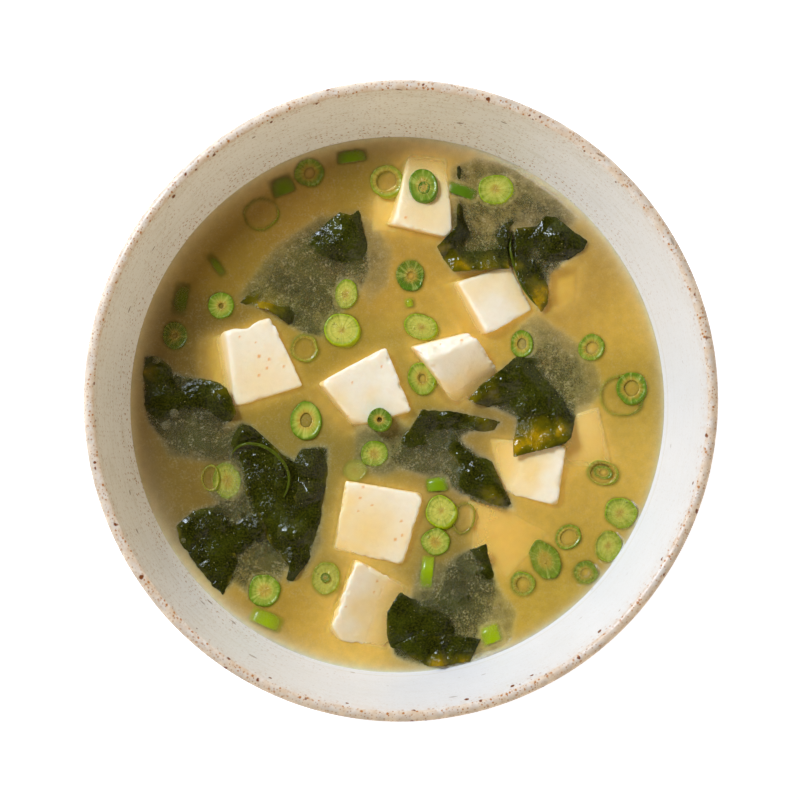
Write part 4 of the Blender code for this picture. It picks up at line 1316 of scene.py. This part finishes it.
def soup_tint(x, y, off_wall, haze, glow, green):
    """The soup's tones, which hold painted shade and light; glowing by tofu and green by slices, partly
    painted light, hazy over leaves, pale by the wall.
    """
    tint = soup_tones_and_shade(x, y)
    # partly the tofu showing through, partly painted light: the glow spreads past the tofu as if light
    # scattered from it
    tint = blend(tint, GLOW, np.clip(glow, 0, 1) * 0.85)
    tint = blend(tint, tint * HAZY, np.clip(haze, 0, 1))
    # partly the slices showing through, partly a painted lime glow round them
    tint = blend(tint, ONION_GLOW, np.clip(green, 0, 1) * 0.35)
    tint = tint * (1 + 0.06 * flat_noise(x, y, 4.0, 605, 3))[..., None]
    # the pale wall shows through the thin soup beside it, painted in a lit and a shaded tone and width by the
    # side the light comes from, as painted light and shade
    lit_share = 0.5 - 0.5 * np.cos(np.arctan2(y, x) - LIGHT_FROM)
    shore = np.exp(-off_wall / (SHORE_WIDTH * (1.5 - 1.0 * lit_share)))
    return blend(tint, blend(SHORE_SHADED, SHORE_LIT, lit_share), np.clip(shore, 0, 1))


def soup_side(top, loop):
    """The points and faces that close the soup below its top, down the wall to the bottom."""
    extra = []
    rows = [loop]
    angles = np.arctan2(top[loop, 1], top[loop, 0])
    for height in LEVEL - (LEVEL - INSIDE_FLOOR) * SIDE_ROWS:
        radius = float(inner_radius(height)) + WALL_REACH
        rows.append([len(top) + len(extra) + k for k in range(len(loop))])
        extra += [(radius * cos(a), radius * sin(a), height) for a in angles]
    bottom = len(top) + len(extra)
    extra.append((0, 0, INSIDE_FLOOR - WALL_REACH))
    faces = []
    for k, m in neighbours(len(loop), True):
        faces += [(upper[m], upper[k], lower[k], lower[m]) for upper, lower in zip(rows, rows[1:])]
        faces.append((rows[-1][m], rows[-1][k], bottom))
    return extra, faces


def soup(material, curds, weeds, onions):
    """The soup down to the bottom of the bowl. Its top lets through what lies near under it."""
    edge = float(inner_radius(LEVEL)) + WALL_REACH
    x, y = disc_points(edge, SOUP_GRID)
    maps = soup_fields(curds, weeds, onions)
    through, haze, glow, green = (sampled(field, x, y) for field in maps)
    off_wall = edge - np.hypot(x, y)
    # it draws up a little at the wall, and is never quite flat
    z = LEVEL + CREEP * np.exp(-off_wall / 0.8) + 0.05 * flat_noise(x, y, 9, 601, 2)
    widen = stretch(LEVEL)
    top = np.stack([x * widen, y / widen, z], axis=-1).reshape(-1, 3)
    low_points, low_faces = soup_side(top, border_of(SOUP_GRID))
    faces = quads(SOUP_GRID + 1, SOUP_GRID + 1, round_columns=False) + low_faces
    points = np.concatenate([top, low_points])
    piece = add_piece("soup", points, faces, material, ["broth"], sharp=50)
    colour_soup(piece, 1 - through, haze, soup_tint(x, y, off_wall, haze, glow, green))


# Stage

CAMERA_AT = (-23.0, -28.1, 715.0)
LOOK_AT = (0.0, 0.0, 66.0)
LENS = 132.8
SENSOR = 36
SHIFT = (-0.0009, 0.0006)
FLOOR_REACH = 3.0  # metres
FLOOR_COLOUR = (0.92, 0.92, 0.91, 1)
FLOOR_GLOW = (0.75, 0.85, 1.0, 1)  # makes up for the warm room, so that the floor stays white
FLOOR_GLOW_STRENGTH = 0.76
# Each light's direction as azimuth and elevation in degrees, distance and size in metres, power, colour
LIGHTS = {
    "key": (138, 40, 0.9, 0.26, 8.45, (0.724, 0.834, 1.0)),
    "fill": (290, 30, 1.0, 0.7, 1.0, (1.0, 0.88, 0.70)),
}
LIGHTS_AIM = 0.05  # how high over the floor they point, in metres
ROOM_COLOUR = (1.0, 0.835, 0.62, 1)
# The room's light fades between two upward parts of the direction, from one strength to the other
ROOM_FADE = {"From Min": 0.40, "From Max": 0.85, "To Min": 1.15, "To Max": 0.05}


def stage():
    mesh = bpy.data.meshes.new("floor")
    corners = [(x * FLOOR_REACH, y * FLOOR_REACH, 0) for x, y in ((-1, -1), (1, -1), (1, 1), (-1, 1))]
    mesh.from_pydata(corners, [], [(0, 1, 2, 3)])
    floor = bpy.data.objects.new("floor", mesh)
    bpy.context.scene.collection.objects.link(floor)
    s = Shader("floor", Roughness=0.9, Emission_Strength=FLOOR_GLOW_STRENGTH)
    s.set("Base Color", FLOOR_COLOUR)
    s.set("Emission Color", FLOOR_GLOW)
    mesh.materials.append(s.material)


def light(name, azimuth, elevation, distance, size, power, colour):
    data = bpy.data.lights.new(name, "AREA")
    data.shape = "DISK"
    data.size = size
    data.energy = power
    data.color = colour
    lamp = bpy.data.objects.new(name, data)
    a, e = radians(azimuth), radians(elevation)
    away = Vector((cos(a) * cos(e), sin(a) * cos(e), sin(e)))
    lamp.location = away * distance + Vector((0, 0, LIGHTS_AIM))
    lamp.rotation_mode = "QUATERNION"
    lamp.rotation_quaternion = away.to_track_quat("Z", "Y")
    bpy.context.scene.collection.objects.link(lamp)


def studio():
    """A room that is bright near the floor and dark overhead, so that wet things mirror little."""
    world = bpy.data.worlds.new("studio")
    world.use_nodes = True
    tree = world.node_tree
    way = tree.nodes.new("ShaderNodeTexCoord")
    parts = tree.nodes.new("ShaderNodeSeparateXYZ")
    tree.links.new(way.outputs["Generated"], parts.inputs[0])
    fade = tree.nodes.new("ShaderNodeMapRange")
    fade.interpolation_type = "SMOOTHSTEP"
    for label, value in ROOM_FADE.items():
        fade.inputs[label].default_value = value
    tree.links.new(parts.outputs["Z"], fade.inputs["Value"])
    background = tree.nodes["Background"]
    background.inputs["Color"].default_value = ROOM_COLOUR
    tree.links.new(fade.outputs[0], background.inputs["Strength"])
    bpy.context.scene.world = world


def lights_and_camera():
    for name, settings in LIGHTS.items():
        light(name, *settings)
    studio()
    data = bpy.data.cameras.new("camera")
    data.lens = LENS
    data.sensor_width = SENSOR
    data.shift_x, data.shift_y = SHIFT
    camera = bpy.data.objects.new("camera", data)
    camera.location = Vector(CAMERA_AT) * MM
    camera.rotation_mode = "QUATERNION"
    back = (Vector(CAMERA_AT) - Vector(LOOK_AT)).normalized()
    right = Vector((0, 1, 0)).cross(back).normalized()
    camera.rotation_quaternion = Matrix((right, back.cross(right), back)).transposed().to_quaternion()
    bpy.context.scene.collection.objects.link(camera)
    bpy.context.scene.camera = camera
    bpy.context.scene.view_settings.view_transform = "Standard"


glazed_bowl(stoneware())
curds = curd_blocks(tofu_material())
weeds = leaves(wakame_material())
onions = spring_onion(onion_material())
bubbles(bubble_material())
miso = broth_material()
soup(miso, curds, weeds, onions)
deep_soup(miso)
stage()
lights_and_camera()
